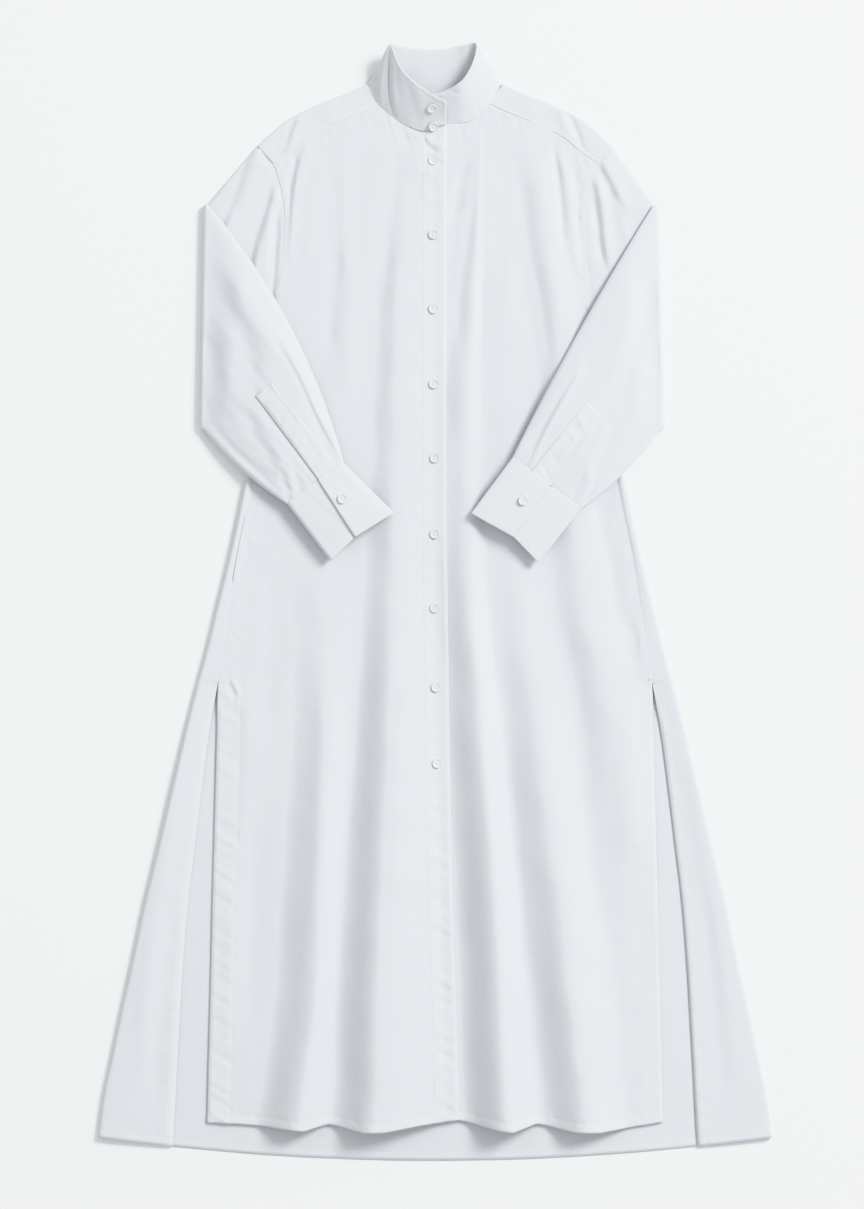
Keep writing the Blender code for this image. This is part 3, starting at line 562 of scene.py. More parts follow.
def make_poplin(name, single, doubled, bump):
    """White poplin. The attribute doubled says where two layers lie together."""
    made, tree, shader, links = new_finish(name)
    place = add_node(tree, "ShaderNodeUVMap", uv_map="cloth")
    threads = {"Threads per metre": math.tau / THREAD_WAVE}
    weave = add_node(tree, "ShaderNodeGroup", threads, node_tree=weave_group)
    links.new(place.outputs[0], weave.inputs["Along the cloth"])
    layers = add_node(tree, "ShaderNodeAttribute", attribute_name="doubled")
    thick = add_node(tree, "ShaderNodeMix", data_type="RGBA")
    thick.inputs["A"].default_value = (*single, 1.0)
    thick.inputs["B"].default_value = (*doubled, 1.0)
    links.new(layers.outputs["Fac"], thick.inputs["Factor"])
    tint = add_node(tree, "ShaderNodeMix", {"Factor": 1.0}, data_type="RGBA", blend_type="MULTIPLY")
    slub_shade = {"From Min": 0.35, "From Max": 0.65, "To Min": 0.965, "To Max": 1.0}
    shade = add_node(tree, "ShaderNodeMapRange", slub_shade)
    links.new(weave.outputs["Slub"], shade.inputs["Value"])
    links.new(thick.outputs["Result"], tint.inputs["A"])
    links.new(shade.outputs[0], tint.inputs["B"])
    links.new(tint.outputs["Result"], shader.inputs["Base Color"])
    raised = add_node(tree, "ShaderNodeBump", {"Strength": bump, "Distance": 0.0002})
    links.new(weave.outputs["Height"], raised.inputs["Height"])
    soft = add_node(tree, "ShaderNodeMapping", {"Scale": (30.0, 16.0, 1.0)}, name="soft unevenness")
    links.new(place.outputs[0], soft.inputs["Vector"])
    uneven = add_node(tree, "ShaderNodeTexNoise", {"Scale": 1.0, "Detail": 1.5})
    links.new(soft.outputs[0], uneven.inputs["Vector"])
    rumpled = add_node(tree, "ShaderNodeBump", {"Strength": 1.0, "Distance": 0.0011})
    links.new(uneven.outputs["Fac"], rumpled.inputs["Height"])
    links.new(rumpled.outputs["Normal"], raised.inputs["Normal"])
    links.new(raised.outputs["Normal"], shader.inputs["Normal"])
    rough = add_node(tree, "ShaderNodeMapRange", {"To Min": 0.72, "To Max": 0.86})
    links.new(weave.outputs["Slub"], rough.inputs["Value"])
    links.new(rough.outputs[0], shader.inputs["Roughness"])
    shader.inputs["Sheen Weight"].default_value = 0.12
    shader.inputs["Sheen Roughness"].default_value = 0.4
    shader.inputs["Specular IOR Level"].default_value = 0.3
    return made


def make_thread():
    """Bright cotton sewing thread, with the turns of its twist."""
    made, tree, shader, links = new_finish("sewing thread")
    place = add_node(tree, "ShaderNodeTexCoord")
    twist = add_node(tree, "ShaderNodeTexNoise", {"Scale": 2500.0})
    links.new(place.outputs["Object"], twist.inputs["Vector"])
    tone = add_node(tree, "ShaderNodeMapRange", {"To Min": 0.80, "To Max": 0.90})
    links.new(twist.outputs["Fac"], tone.inputs["Value"])
    links.new(tone.outputs[0], shader.inputs["Base Color"])
    shader.inputs["Roughness"].default_value = 0.55
    shader.inputs["Sheen Weight"].default_value = 0.1
    return made


def make_button_plastic():
    """White shirt-button plastic with a faint pearly cloud in it."""
    made, tree, shader, links = new_finish("button plastic")
    place = add_node(tree, "ShaderNodeTexCoord")
    cloud = add_node(tree, "ShaderNodeTexNoise", {"Scale": 320.0, "Detail": 3.0, "Distortion": 1.5})
    links.new(place.outputs["Object"], cloud.inputs["Vector"])
    pearl = add_node(tree, "ShaderNodeMix", data_type="RGBA")
    pearl.inputs["A"].default_value = (0.70, 0.72, 0.75, 1.0)
    pearl.inputs["B"].default_value = (0.84, 0.84, 0.83, 1.0)
    links.new(cloud.outputs["Fac"], pearl.inputs["Factor"])
    links.new(pearl.outputs["Result"], shader.inputs["Base Color"])
    gloss = add_node(tree, "ShaderNodeMapRange", {"To Min": 0.2, "To Max": 0.36})
    links.new(cloud.outputs["Fac"], gloss.inputs["Value"])
    links.new(gloss.outputs[0], shader.inputs["Roughness"])
    shader.inputs["Coat Weight"].default_value = 0.3
    return made


poplin = make_poplin("white poplin", (0.72, 0.739, 0.767), (0.741, 0.76, 0.787), 0.35)
thread = make_thread()
button_plastic = make_button_plastic()
print("finishes:", poplin.name, thread.name, button_plastic.name)

# %% [markdown]
# ## From a grid to a piece of cloth
# `cloth_piece` turns a grid of points into a mesh with a UV map in metres, so that the threads run along the
# cloth and keep their size. A Solidify modifier gives the sheet its thickness.


# %% Build a cloth piece
def cloth_piece(name, points, thickness=CLOTH, ring=False, missing=None, doubled=None):
    """A sheet from a grid of points in millimetres. missing marks points that are left out."""
    rows, columns = points.shape[:2]
    low, right = np.meshgrid(np.arange(rows - 1), np.arange(columns if ring else columns - 1), indexing="ij")
    after = (right + 1) % columns
    corners = [(low, right), (low, after), (low + 1, after), (low + 1, right)]
    faces = np.stack([r * columns + c for r, c in corners], axis=-1).reshape(-1, 4)
    if missing is not None:
        faces = faces[~missing.ravel()[faces].any(axis=1)]
    used = np.unique(faces)
    number = np.full(rows * columns, -1)
    number[used] = np.arange(len(used))
    mesh = bpy.data.meshes.new(name)
    mesh.from_pydata(points.reshape(-1, 3)[used] * MM, [], number[faces])
    along = np.linalg.norm(np.diff(points, axis=1), axis=2).mean(axis=0)
    down = np.linalg.norm(np.diff(points, axis=0), axis=2).mean(axis=1)
    u = np.concatenate([[0], np.cumsum(along)]) * MM
    v = np.concatenate([[0], np.cumsum(down)]) * MM
    seam_u = np.append(u, u[-1] + along.mean() * MM)
    layer = mesh.uv_layers.new(name="cloth")
    cell_rows, cell_columns = faces // columns, faces % columns
    if ring:
        wrapped = (cell_columns == 0) & (cell_columns.max(axis=1, keepdims=True) == columns - 1)
        cell_columns = np.where(wrapped, columns, cell_columns)
    uvs = np.stack([seam_u[cell_columns], v[cell_rows]], axis=-1)
    layer.data.foreach_set("uv", uvs.reshape(-1).astype(np.float32))
    if doubled is not None:
        spread = mesh.attributes.new("doubled", "FLOAT", "POINT")
        spread.data.foreach_set("value", doubled.reshape(-1)[used].astype(np.float32))
    mesh.shade_smooth()
    piece = bpy.data.objects.new(name, mesh)
    bpy.context.scene.collection.objects.link(piece)
    mesh.materials.append(poplin)
    finish_wall(piece, thickness)
    return piece


def finish_wall(piece, thickness):
    """Give a sheet its thickness, half to each side."""
    wall = piece.modifiers.new("wall", "SOLIDIFY")
    wall.thickness = thickness * MM
    wall.offset = 0.0
    bpy.ops.object.select_all(action="DESELECT")
    piece.select_set(True)
    bpy.context.view_layer.objects.active = piece
    bpy.ops.object.modifier_apply(modifier=wall.name)
    piece.select_set(False)


def from_edge(points, edge):
    """Distance over the cloth of each point from one edge: first or last column, top or bottom row."""
    axis = 1 if edge in ("first", "last") else 0
    steps = np.linalg.norm(np.diff(points, axis=axis), axis=2)
    zero = np.zeros_like(points[..., :1, 0] if axis else points[:1, ..., 0])
    if edge in ("first", "top"):
        return np.concatenate([zero, np.cumsum(steps, axis=axis)], axis=axis)
    steps = np.flip(steps, axis=axis)
    return np.flip(np.concatenate([zero, np.cumsum(steps, axis=axis)], axis=axis), axis=axis)


def inset_line(points, edge, distance):
    """A line of points on the cloth at one distance from an edge."""
    away = from_edge(points, edge)
    if edge in ("top", "bottom"):
        points, away = points.transpose(1, 0, 2), away.T
    if edge in ("last", "bottom"):
        points, away = points[:, ::-1], away[:, ::-1]
    line = [[np.interp(distance, d, row[:, k]) for k in range(3)] for row, d in zip(points, away)]
    return np.array(line)


print("wall of one layer:", CLOTH, "mm")

# %% [markdown]
# ## Stitches
# A row of topstitching is hundreds of short threads. Each one here is a small loaf of six faces, and all
# the rows on a piece of cloth are one mesh.

# %% Build rows of stitches
STITCH_PITCH, STITCH_LENGTH, STITCH_WIDTH, STITCH_HEIGHT = 2.7, 2.0, 0.55, 0.32
EDGE_STITCH, SECOND_STITCH = 2.2, 7.5  # rows of stitches, from the edge or seam that they follow


def stitch_rows(name, lines, above):
    """Stitches along lines of points in millimetres, raised by so much above the lines."""
    loaf = np.array(
        [(-0.5, -0.5, 0), (-0.5, 0.5, 0), (0.5, 0.5, 0), (0.5, -0.5, 0)]
        + [(-0.28, -0.22, 1), (-0.28, 0.22, 1), (0.28, 0.22, 1), (0.28, -0.22, 1)]
    ) * (STITCH_LENGTH, STITCH_WIDTH, STITCH_HEIGHT)
    sides = [(0, 4, 5, 1), (1, 5, 6, 2), (2, 6, 7, 3), (3, 7, 4, 0), (4, 7, 6, 5), (0, 1, 2, 3)]
    vertices, faces = [], []
    for line in lines:
        line = np.asarray(line, float)
        sizes = np.linalg.norm(np.diff(line, axis=0), axis=1)
        reach = np.concatenate([[0], np.cumsum(sizes)])
        count = max(int(reach[-1] / STITCH_PITCH), 1)
        middles = (np.arange(count) + 0.5) * reach[-1] / count
        place, ahead, behind = (
            np.stack([np.interp(middles + shift, reach, line[:, k]) for k in range(3)], axis=1)
            for shift in (0.0, 0.6, -0.6)
        )
        way = ahead - behind
        way /= np.linalg.norm(way, axis=1, keepdims=True)
        side = np.cross((0, 0, 1), way)
        side /= np.linalg.norm(side, axis=1, keepdims=True)
        up = np.cross(way, side)
        for middle, w, s, u in zip(place, way, side, up):
            start = len(vertices)
            vertices.extend(middle + u * above + loaf @ np.array([w, s, u]))
            faces.extend([tuple(start + i for i in side_face) for side_face in sides])
    mesh = bpy.data.meshes.new(name)
    mesh.from_pydata(np.array(vertices) * MM, [], faces)
    piece = bpy.data.objects.new(name, mesh)
    bpy.context.scene.collection.objects.link(piece)
    mesh.materials.append(thread)
    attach(piece, "root")
    return piece


def dress_node(piece, node):
    """The finished piece rides with the dress and stands for its plain solid."""
    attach(piece, "root")
    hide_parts(node)
    print(f"{piece.name}: {len(piece.data.polygons)} faces")


print("stitch pitch:", STITCH_PITCH, "mm")

# %% [markdown]
# ## The back
# The back lies on the floor, and both its sides turn up and over to the front. Below the tops of the slits
# those sides are free, with a narrow stitched hem on their edges.


# %% The back
SIDE_ROUND = {RIGHT: 3.5, LEFT: 3.0}  # radius of the side folds below the arms, where the cloth is loose
BACK_STRIP, BACK_TURN, BACK_PLATE = 20, 8, 44  # columns on top, round a side fold and on the floor
BACK_ROWS_ABOVE_ARM, BACK_ROWS_ABOVE_SLIT = 30, 90
BELOW_ARM_Y, BACK_LAST_Y = 346, -655  # of the first row below the arms and the last row
SIDE_HEM, BACK_HEM = 11.0, 10.0


def back_grid():
    """Points of the back, from the yoke seam to the hem, and which of them are left out."""
    down_to_slit = np.linspace(BELOW_ARM_Y, SLIT_Y, BACK_ROWS_ABOVE_SLIT)
    y = np.concatenate([down_to_slit, np.linspace(SLIT_Y, -640, 150)[1:], [-645, -650, BACK_LAST_Y]])
    fold, edge = down_table(BODY, y, "fold"), down_table(BODY, y, "back_edge")
    edge = edge - UNDERLAP * (y >= SLIT_Y)
    halves = []
    for side in (RIGHT, LEFT):
        angle = np.linspace(math.pi, 0, BACK_TURN + 1)
        round_r = mix(FOLD_R, SIDE_ROUND[side], ease((300 - y) / 160))[:, None]
        inset = FOLD_INSET + round_r * (1 - np.sin(angle))
        arc_x = side * (fold[:, None] - inset)
        arc_z = BACK_Z + round_r * (1 - np.cos(angle))
        share = np.linspace(0, 1, BACK_STRIP + 1)[:-1]
        top_x = mix(side * edge[:, None], arc_x[:, :1], share[None])
        top_z = mix(FRONT_Z, arc_z[:, :1], ease(share)[None])
        halves.append((np.hstack([top_x, arc_x]), np.hstack([top_z, arc_z])))
    (right_x, right_z), (left_x, left_z) = halves
    share = np.linspace(0, 1, BACK_PLATE + 1)[1:-1]
    floor_x = mix(right_x[:, -1:], left_x[:, -1:], share[None])
    x = np.hstack([right_x, floor_x, left_x[:, ::-1]])
    z = np.hstack([right_z, np.full_like(floor_x, BACK_Z), left_z[:, ::-1]])
    yy = np.broadcast_to(y[:, None], x.shape).copy()
    reach = ease((-y - 560) / 95)[:, None]
    hem = BACK_HEM_Y + HEM_RISE * (x / HALF_HEM) ** 2
    yy += reach * (hem - BACK_LAST_Y)
    body = np.stack([x, yy, z], axis=-1)
    upper_y = np.linspace(YOKE_SEAM_Y - 0.3, UNDERARM_Y, BACK_ROWS_ABOVE_ARM)
    half = np.interp(-upper_y, -column_of(ARMHOLE, "y"), column_of(ARMHOLE, "x"))
    beside = BACK_STRIP + BACK_TURN
    upper = np.zeros((len(upper_y), body.shape[1], 3))
    spread = np.linspace(-1, 1, BACK_PLATE + 1)
    upper[:, beside:-beside, 0] = half[:, None] * spread[None]
    upper[..., 1], upper[..., 2] = upper_y[:, None], BACK_Z
    missing = np.zeros((len(upper_y) + len(body), body.shape[1]), bool)
    missing[: len(upper_y), :beside] = missing[: len(upper_y), -beside:] = True
    return np.concatenate([upper, body]), missing


BACK_CREASES = (
    Crease(1.6, 14, 18, ((-300, -120), (-322, -260), (-345, -420), (-362, -600))),
    Crease(-1.2, 10, 12, ((-318, -330), (-334, -450), (-345, -640))),
    Crease(1.3, 12, 16, ((308, -150), (330, -290), (352, -430), (372, -600))),
    Crease(-1.1, 10, 12, ((322, -330), (338, -450), (352, -640))),
)


def make_back():
    """The back with its turned-over sides, their hems and the back hem."""
    points, missing = back_grid()
    x, y = points[..., 0], points[..., 1]
    on_top = np.zeros(points.shape[:2])
    turned_over = BACK_STRIP + 2
    on_top[:, :turned_over] = on_top[:, -turned_over:] = 1.0
    to_edge = np.minimum(from_edge(points, "first"), from_edge(points, "last"))
    to_hem = from_edge(points, "bottom")
    free = ease((SLIT_Y - y) / 30)
    points[..., 2] += on_top * crease_height(x, y, BACK_CREASES)
    down = 0.65 * on_top * ease((SLIT_Y - y) / 70) * (1 - ease(to_edge / 4.5))
    points[..., 2] -= down * (points[..., 2] - BACK_Z - 0.9)
    sewn = on_top * (1 - ease((SLIT_Y - y) / 4))
    points[..., 2] += sewn * 1.1 * bump_at(to_edge, UNDERLAP, 14)
    points[..., 2] -= sewn * SUNK * ease((UNDERLAP + 1.0 - to_edge) / 1.2)
    points[..., 2] += on_top * free * 0.35 * ripple(y, 41, 60, 14) * bump_at(to_edge, 9, 7)
    low = 1 - on_top
    points[..., 2] += low * 0.25 * ease((-y - 90) / 60) * (1 + ripple(x + 0.3 * y, 43, 190, 60))
    hem_wave = ripple(x, 42, 55, 13) * bump_at(to_hem, 9, 7)
    points[..., 2] += np.maximum(0.3 * hem_wave, -0.12)
    doubled = np.maximum(ease((BACK_HEM - to_hem) / 1.5), free * ease((SIDE_HEM - to_edge) / 1.5))
    piece = cloth_piece("dress_back", points, missing=missing, doubled=doubled)
    body = points[BACK_ROWS_ABOVE_ARM:]
    slit = body[BACK_ROWS_ABOVE_SLIT:]
    rows = [
        inset_line(slit, "first", SIDE_HEM - 1.5),
        inset_line(slit, "last", SIDE_HEM - 1.5),
        inset_line(body, "bottom", BACK_HEM - 1.0),
    ]
    return piece, stitch_rows("stitches_back", rows, CLOTH / 2)


back, back_stitches = make_back()
dress_node(back, "back")

# %% [markdown]
# ## The yoke
# The yoke is one panel across the shoulders. It lies flat under the collar, turns over at the shoulders and
# ends in the two front seams, which are topstitched on the yoke's side.


# %% The yoke
def at_neck(row, gap=NECK_SEAM):
    """The neck edge of a panel at a row of the collar, just outside the collar's foot."""
    away = np.array([row.foot_x - NECK_CENTRE[0], row.foot_y - NECK_CENTRE[1]])
    away /= np.linalg.norm(away)
    return row.foot_x + away[0] * gap, row.foot_y + away[1] * gap


def shoulder_turn(fold, inward, steps=6):
    """Points round the shoulder fold, from the lower layer to the upper one."""
    turn = np.linspace(0, math.pi, steps + 1)
    inset = FOLD_INSET + FOLD_R * (1 - np.sin(turn))
    plan = fold + inward * inset[:, None]
    return np.column_stack([plan, BACK_Z + FOLD_R * (1 - np.cos(turn))]).tolist()


def yoke_half(side):
    """Coarse lines of the yoke from its back seam over the shoulder to its front seam, neck line first."""
    rows = COLLAR[5:9] if side == RIGHT else COLLAR[13:17][::-1]
    lines = []
    for i, row in enumerate(SHOULDER):
        fold, front = np.array([side * row.fold_x, row.fold_y]), np.array([side * row.front_x, row.front_y])
        inward = (front - fold) / np.linalg.norm(front - fold)
        low = high = fold + inward * 12.0
        if i == 0:
            low = np.array(at_neck(rows[3]))
            front, high = (np.array(at_neck(rows[k], UNDER_COLLAR)) for k in (0, 1))
        seam = np.array([side * row.back_x, YOKE_SEAM_Y])
        back = [mix(seam, low, k / 3) for k in range(4)]
        if i == len(SHOULDER) - 1:
            back = [np.array([side * arm.x, arm.y]) for arm in ARMHOLE[5:1:-1]]
            high = (front + fold) / 2
        flat_back = [(*p, BACK_Z) for p in back]
        flat_front = [(*high, FRONT_Z), (*front, FRONT_Z)]
        lines.append(flat_back + shoulder_turn(fold, inward) + flat_front)
    return np.array(lines)


YOKE_CREASES = (
    Crease(-2.2, 4, 4, ((158, 604), (166, 592), (175, 570), (183, 546), (188, 530))),
    Crease(1.6, 6, 5, ((150, 606), (157, 590), (166, 566))),
    Crease(1.6, 3.5, 8, ((-162, 600), (-170, 584), (-179, 560), (-185, 535))),
    Crease(-2.0, 3.5, 4, ((-168, 598), (-177, 578), (-184, 552), (-188, 530))),
    Crease(0.9, 8, 10, ((-120, 616), (-128, 600), (-132, 584))),
    Crease(-0.9, 4, 6, ((-186, 580), (-192, 566), (-197, 550))),
    Crease(0.8, 8, 10, ((112, 618), (118, 604), (124, 588))),
)


def make_yoke():
    """Both halves of the yoke and the strip behind the neck that joins them."""
    down = cells(5, 5, 5, 1, 1, 1, 1, 1, 1, 1, 6, 12)
    across = cells(10, 8, 8, 8, 8, 8)
    bends = (3, 4, 9, 10)  # where a line of the yoke leaves the floor and comes out of its turn
    right, left = (refine(yoke_half(side), across, down, column_corners=bends) for side in (RIGHT, LEFT))
    neck = [at_neck(row) for row in COLLAR[BEHIND]]
    columns, floor_rows = 30, 16
    line = smooth_line(range(len(neck)), np.array(neck), np.linspace(0, len(neck) - 1, columns + 1))[1:-1]
    share = np.linspace(0, 1, floor_rows)[:, None, None]
    start_x, end_x = -SHOULDER[0].back_x, SHOULDER[0].back_x
    seam_x = np.linspace(start_x, end_x, columns + 1)[1:-1]
    seam = np.stack([seam_x, np.full_like(seam_x, YOKE_SEAM_Y)], axis=-1)
    plan = mix(seam[None], line[None], share)
    middle = np.zeros((len(line), len(down), 3))
    middle[:, :floor_rows, :2], middle[:, :floor_rows, 2] = plan.transpose(1, 0, 2), BACK_Z
    points = np.concatenate([right[::-1], middle, left])
    missing = np.zeros(points.shape[:2], bool)
    missing[len(across) : len(across) + len(line), floor_rows:] = True
    points = points.transpose(1, 0, 2)
    missing = missing.T
    x, y = points[..., 0], points[..., 1]
    top = ease((points[..., 2] - 3.2) / 1.2)
    to_seam = from_edge(points, "bottom")
    to_arm = np.minimum(from_edge(points, "first"), from_edge(points, "last"))
    loose = top * ease(to_seam / 5) * ease(to_arm / 5)
    points[..., 2] += loose * crease_height(x, y, YOKE_CREASES)
    points[..., 2] += 0.4 * loose * ripple(x, 51, 36, 11) * bump_at(to_seam, 6, 6)
    points[..., 2] += 0.15 * top * ease((3 - np.minimum(to_seam, to_arm)) / 2)
    doubled = top * ease((9 - to_seam) / 2)
    piece = cloth_piece("dress_yoke", points, missing=missing, doubled=doubled)
    rows = []
    for half in (right, left):
        seen = half + (0, 0, 0.12)
        rows += [inset_line(seen, "last", EDGE_STITCH), inset_line(seen, "last", 6.5)]
    return piece, stitch_rows("stitches_yoke", rows, CLOTH / 2)


yoke, yoke_stitches = make_yoke()
dress_node(yoke, "yoke")

# %% [markdown]
# ## The two fronts
# Each front hangs from the yoke and the neck down to its own hem. The long folds come from one height field
# that both fronts and the two button bands share, so they rise and fall together. Where the cloth is sewn it
# puckers: along the wide facing of the slits, the hem and the armhole.

# %% The fronts
HEM_LINE = (
    (-290, -1), (-240, -3), (-203, -6), (-175, -9), (-160, -10), (-131, -3), (-87, -12), (-61, -11),
    (-20, -4), (28, 2), (60, -5), (77, -9), (95, -11), (125, -2), (150, -8), (171, -12), (201, -12),
    (226, -9), (282, 0), (295, 0),
)
FACING = 28.0  # width of the doubled strip along each slit
FRONT_HEM = 10.0
LAST_ROWS = np.linspace(-602, -635, 14)  # close together, for the hem
POCKET_OPENING = (20.0, 126.0)  # low and high end of the opening in a side seam


def front_hem_y(x):
    """The hem's wave: it drops a little where a fold opens."""
    return FRONT_HEM_Y + np.interp(x, [p[0] for p in HEM_LINE], [p[1] for p in HEM_LINE])


def drawn_to_hem(x, y):
    """y of a front's or a band's points, when their lowest rows follow the hem's wave."""
    return y + ease((-y - 500) / 135) * (front_hem_y(x) - FRONT_HEM_Y)


def front_plan(side):
    """Points of a front from above, from its outer edge to the band, top to bottom."""
    across = [np.linspace(0, 0.13, 26), np.linspace(0.13, 0.96, 84)[1:], np.linspace(0.96, 1, 9)[1:]]
    across = np.concatenate(across)
    rows = COLLAR[2:6][::-1] if side == RIGHT else COLLAR[16:21]
    neck = [at_neck(row, UNDER_COLLAR) for row in rows]
    centre = "right_edge" if side == RIGHT else "left_edge"
    gap = 3.0 if side == RIGHT else -0.8  # both fronts run on under the band
    neck[0] = (neck[0][0], neck[0][1] + UNDERLAP)
    neck[-1] = (getattr(BAND[0], centre) + gap, neck[-1][1])
    yoke_line = [(side * row.front_x, row.front_y + UNDERLAP) for row in SHOULDER[:0:-1]]
    outline = np.array(yoke_line + neck)
    top = smooth_line(range(len(outline)), outline, across * (len(outline) - 1), corners=(len(yoke_line),))
    arm_y = np.linspace(top[0, 1], UNDERARM_Y, 84)
    arm_x = side * smooth_line(-column_of(ARMHOLE, "y"), column_of(ARMHOLE, "x"), -arm_y)
    down = ((top[0, 1] - arm_y) / (top[0, 1] - UNDERARM_Y))[:, None]
    corner_x = side * ARMHOLE[-1].x
    bottom_x = mix(corner_x, float(down_table(BAND, UNDERARM_Y, centre)) + gap, across)[None]
    x = mix(top[None, :, 0], bottom_x, down)
    x = x + (1 - across)[None] ** 2 * (arm_x[:, None] - mix(top[0, 0], corner_x, down))
    y = mix(top[None, :, 1], UNDERARM_Y, down)
    to_slit = np.linspace(BELOW_ARM_Y, SLIT_Y, 120)
    low_y = np.concatenate([to_slit, np.linspace(SLIT_Y, -600, 150)[1:], LAST_ROWS])
    edge = side * down_table(BODY, low_y, "front_edge")
    band = down_table(BAND, low_y, centre) + gap
    low_x = mix(edge[:, None], band[:, None], across[None])
    low = np.broadcast_to(low_y[:, None], low_x.shape)
    low = drawn_to_hem(low_x, low)
    return np.concatenate([x, low_x]), np.concatenate([y, low]), len(arm_y)


def make_front(side):
    """One front with its facing, hem and the puckers of its seams."""
    x, y, arm_rows = front_plan(side)
    z = FRONT_Z + lift(x, y)
    points = np.stack([x, y, z], axis=-1)
    to_edge = from_edge(points, "first")
    to_band = from_edge(points, "last")
    to_hem = from_edge(points, "bottom")
    to_top = from_edge(points, "top")
    slit = ease((SLIT_Y + 5 - y) / 14)
    above_slit = 1 - slit
    row = np.arange(len(x))[:, None]
    at_arm = ease((arm_rows + 4 - row) / 8)
    clear_of_seams = ease((to_top - UNDERLAP) / 7) * (1 - above_slit * (1 - ease((to_edge - 3) / 9)))
    z = z + clear_of_seams * crease_height(x, y, BODY_CREASES)
    # puckers between the slit's edge and the stitching of its facing
    slant = y + 0.55 * to_edge
    in_facing = ease((FACING + 5 - to_edge) / 9) * ease(to_edge / 5)
    strength = 0.55 + 0.45 * ripple(y, 60 + side, 230, 90)
    z = z + slit * in_facing * strength * 0.85 * ripple(slant, 62 + side, 44, 12)
    z = z - slit * 0.18 * bump_at(to_edge, FACING, 2.0)
    z = z + slit * 0.12 * ease((FACING - to_edge) / 2.5)
    down = ease((SLIT_Y - y) / 70) * (0.15 * (1 - ease(to_edge / 30)) + 0.5 * (1 - ease(to_edge / 4.0)))
    z = z - down * (z - BACK_Z - 0.9)
    # the hem
    z = z + 0.35 * ease((FRONT_HEM - to_hem) / 1.5) - 0.25 * bump_at(to_hem, FRONT_HEM, 1.8)
    z = z + 0.35 * ripple(x + 0.5 * to_hem, 66 + side, 42, 11) * bump_at(to_hem, 9, 8)
    # armhole, side seam, yoke and neck seams sink and pucker
    beside_seam = clear_of_seams * bump_at(to_edge, 9, 9)
    z = z + at_arm * 0.6 * ripple(y - 0.8 * to_edge, 70 + side, 60, 14) * beside_seam
    z = z + above_slit * (1 - at_arm) * 0.5 * ripple(y + to_edge, 74 + side, 70, 16) * beside_seam
    z = z + above_slit * (1 - at_arm) * 1.1 * bump_at(to_edge, 0, 14)
    z = z - SUNK * ease((UNDERLAP + 1.0 - to_top) / 1.2)
    # the pocket's opening in the right seam gapes a little
    if side == RIGHT:
        opening = ease((y - POCKET_OPENING[0]) / 12) * ease((POCKET_OPENING[1] - y) / 30)
        z = z + opening * 1.7 * (1 - ease(to_edge / 10))
    below_yoke = clear_of_seams * bump_at(to_top, 13, 12)
    z = z + 0.5 * ripple(x - 0.4 * to_top, 78 + side, 46, 12) * below_yoke
    # the band's stitching draws the right front up a little
    if side == RIGHT:
        beside_band = ease((to_band - 3) / 4) * bump_at(to_band, 8, 7)
        z = z + 0.45 * ripple(y + 0.6 * to_band, 82, 52, 13) * beside_band
    points = np.stack([x, y, z], axis=-1)
    doubled = np.maximum(slit * ease((FACING - to_edge) / 1.2), ease((FRONT_HEM - to_hem) / 1.2))
    name = SIDE_NAMES[side]
    piece = cloth_piece(f"dress_front_{name}", points, doubled=doubled)
    below = int(np.argmax(y[:, 0] < SLIT_Y))
    slit_part = points[below - 3 :]
    rows = [
        inset_line(slit_part, "first", FACING),
        inset_line(slit_part, "first", 1.8),
        inset_line(points, "bottom", FRONT_HEM),
        inset_line(points[:arm_rows], "first", 5.5),
    ]
    return piece, stitch_rows(f"stitches_front_{name}", rows, CLOTH / 2)


for side in (RIGHT, LEFT):
    piece, sewn = make_front(side)
    dress_node(piece, f"front_{SIDE_NAMES[side]}")

# %% [markdown]
# ## The button bands
# The right front ends in a doubled band with the buttonholes, which lies on the left front's band. It is as
# wide as the space between its fold, on the wearer's left, and the row of stitches that holds it down.

# %% The bands
BAND_RISE = 2.6  # from the middle of the front to the middle of the band on top
BAND_TOP = 576.0
SNAG = (
    Crease(-1.6, 2.6, 5, ((-22, 580), (-17, 566), (-8, 556), (4, 549))),
    Crease(1.6, 5, 6, ((-12, 574), (-5, 563), (8, 557), (14, 556))),
    Crease(-1.0, 4, 4, ((-10, 549), (2, 540), (13, 533))),
    Crease(0.9, 6, 6, ((-14, 530), (0, 522), (12, 515))),
)


def band_height(x, y, across):
    """The middle of the band's cloth: it rises from its stitched edge to its free fold."""
    rise = -0.3 + 0.8 * ease((across + 0.05) / 0.4) + (BAND_RISE - 0.5) * ease((across - 0.4) / 0.5)
    rise = rise - 1.2 * ease((across - 0.86) / 0.14)
    return front_height(x, y) + rise + crease_height(x, y, SNAG)


def band_rows():
    """Rows of the bands, from the collar to the hem."""
    return np.concatenate([np.linspace(BAND_TOP, 500, 50), np.linspace(500, -600, 330)[1:], LAST_ROWS])


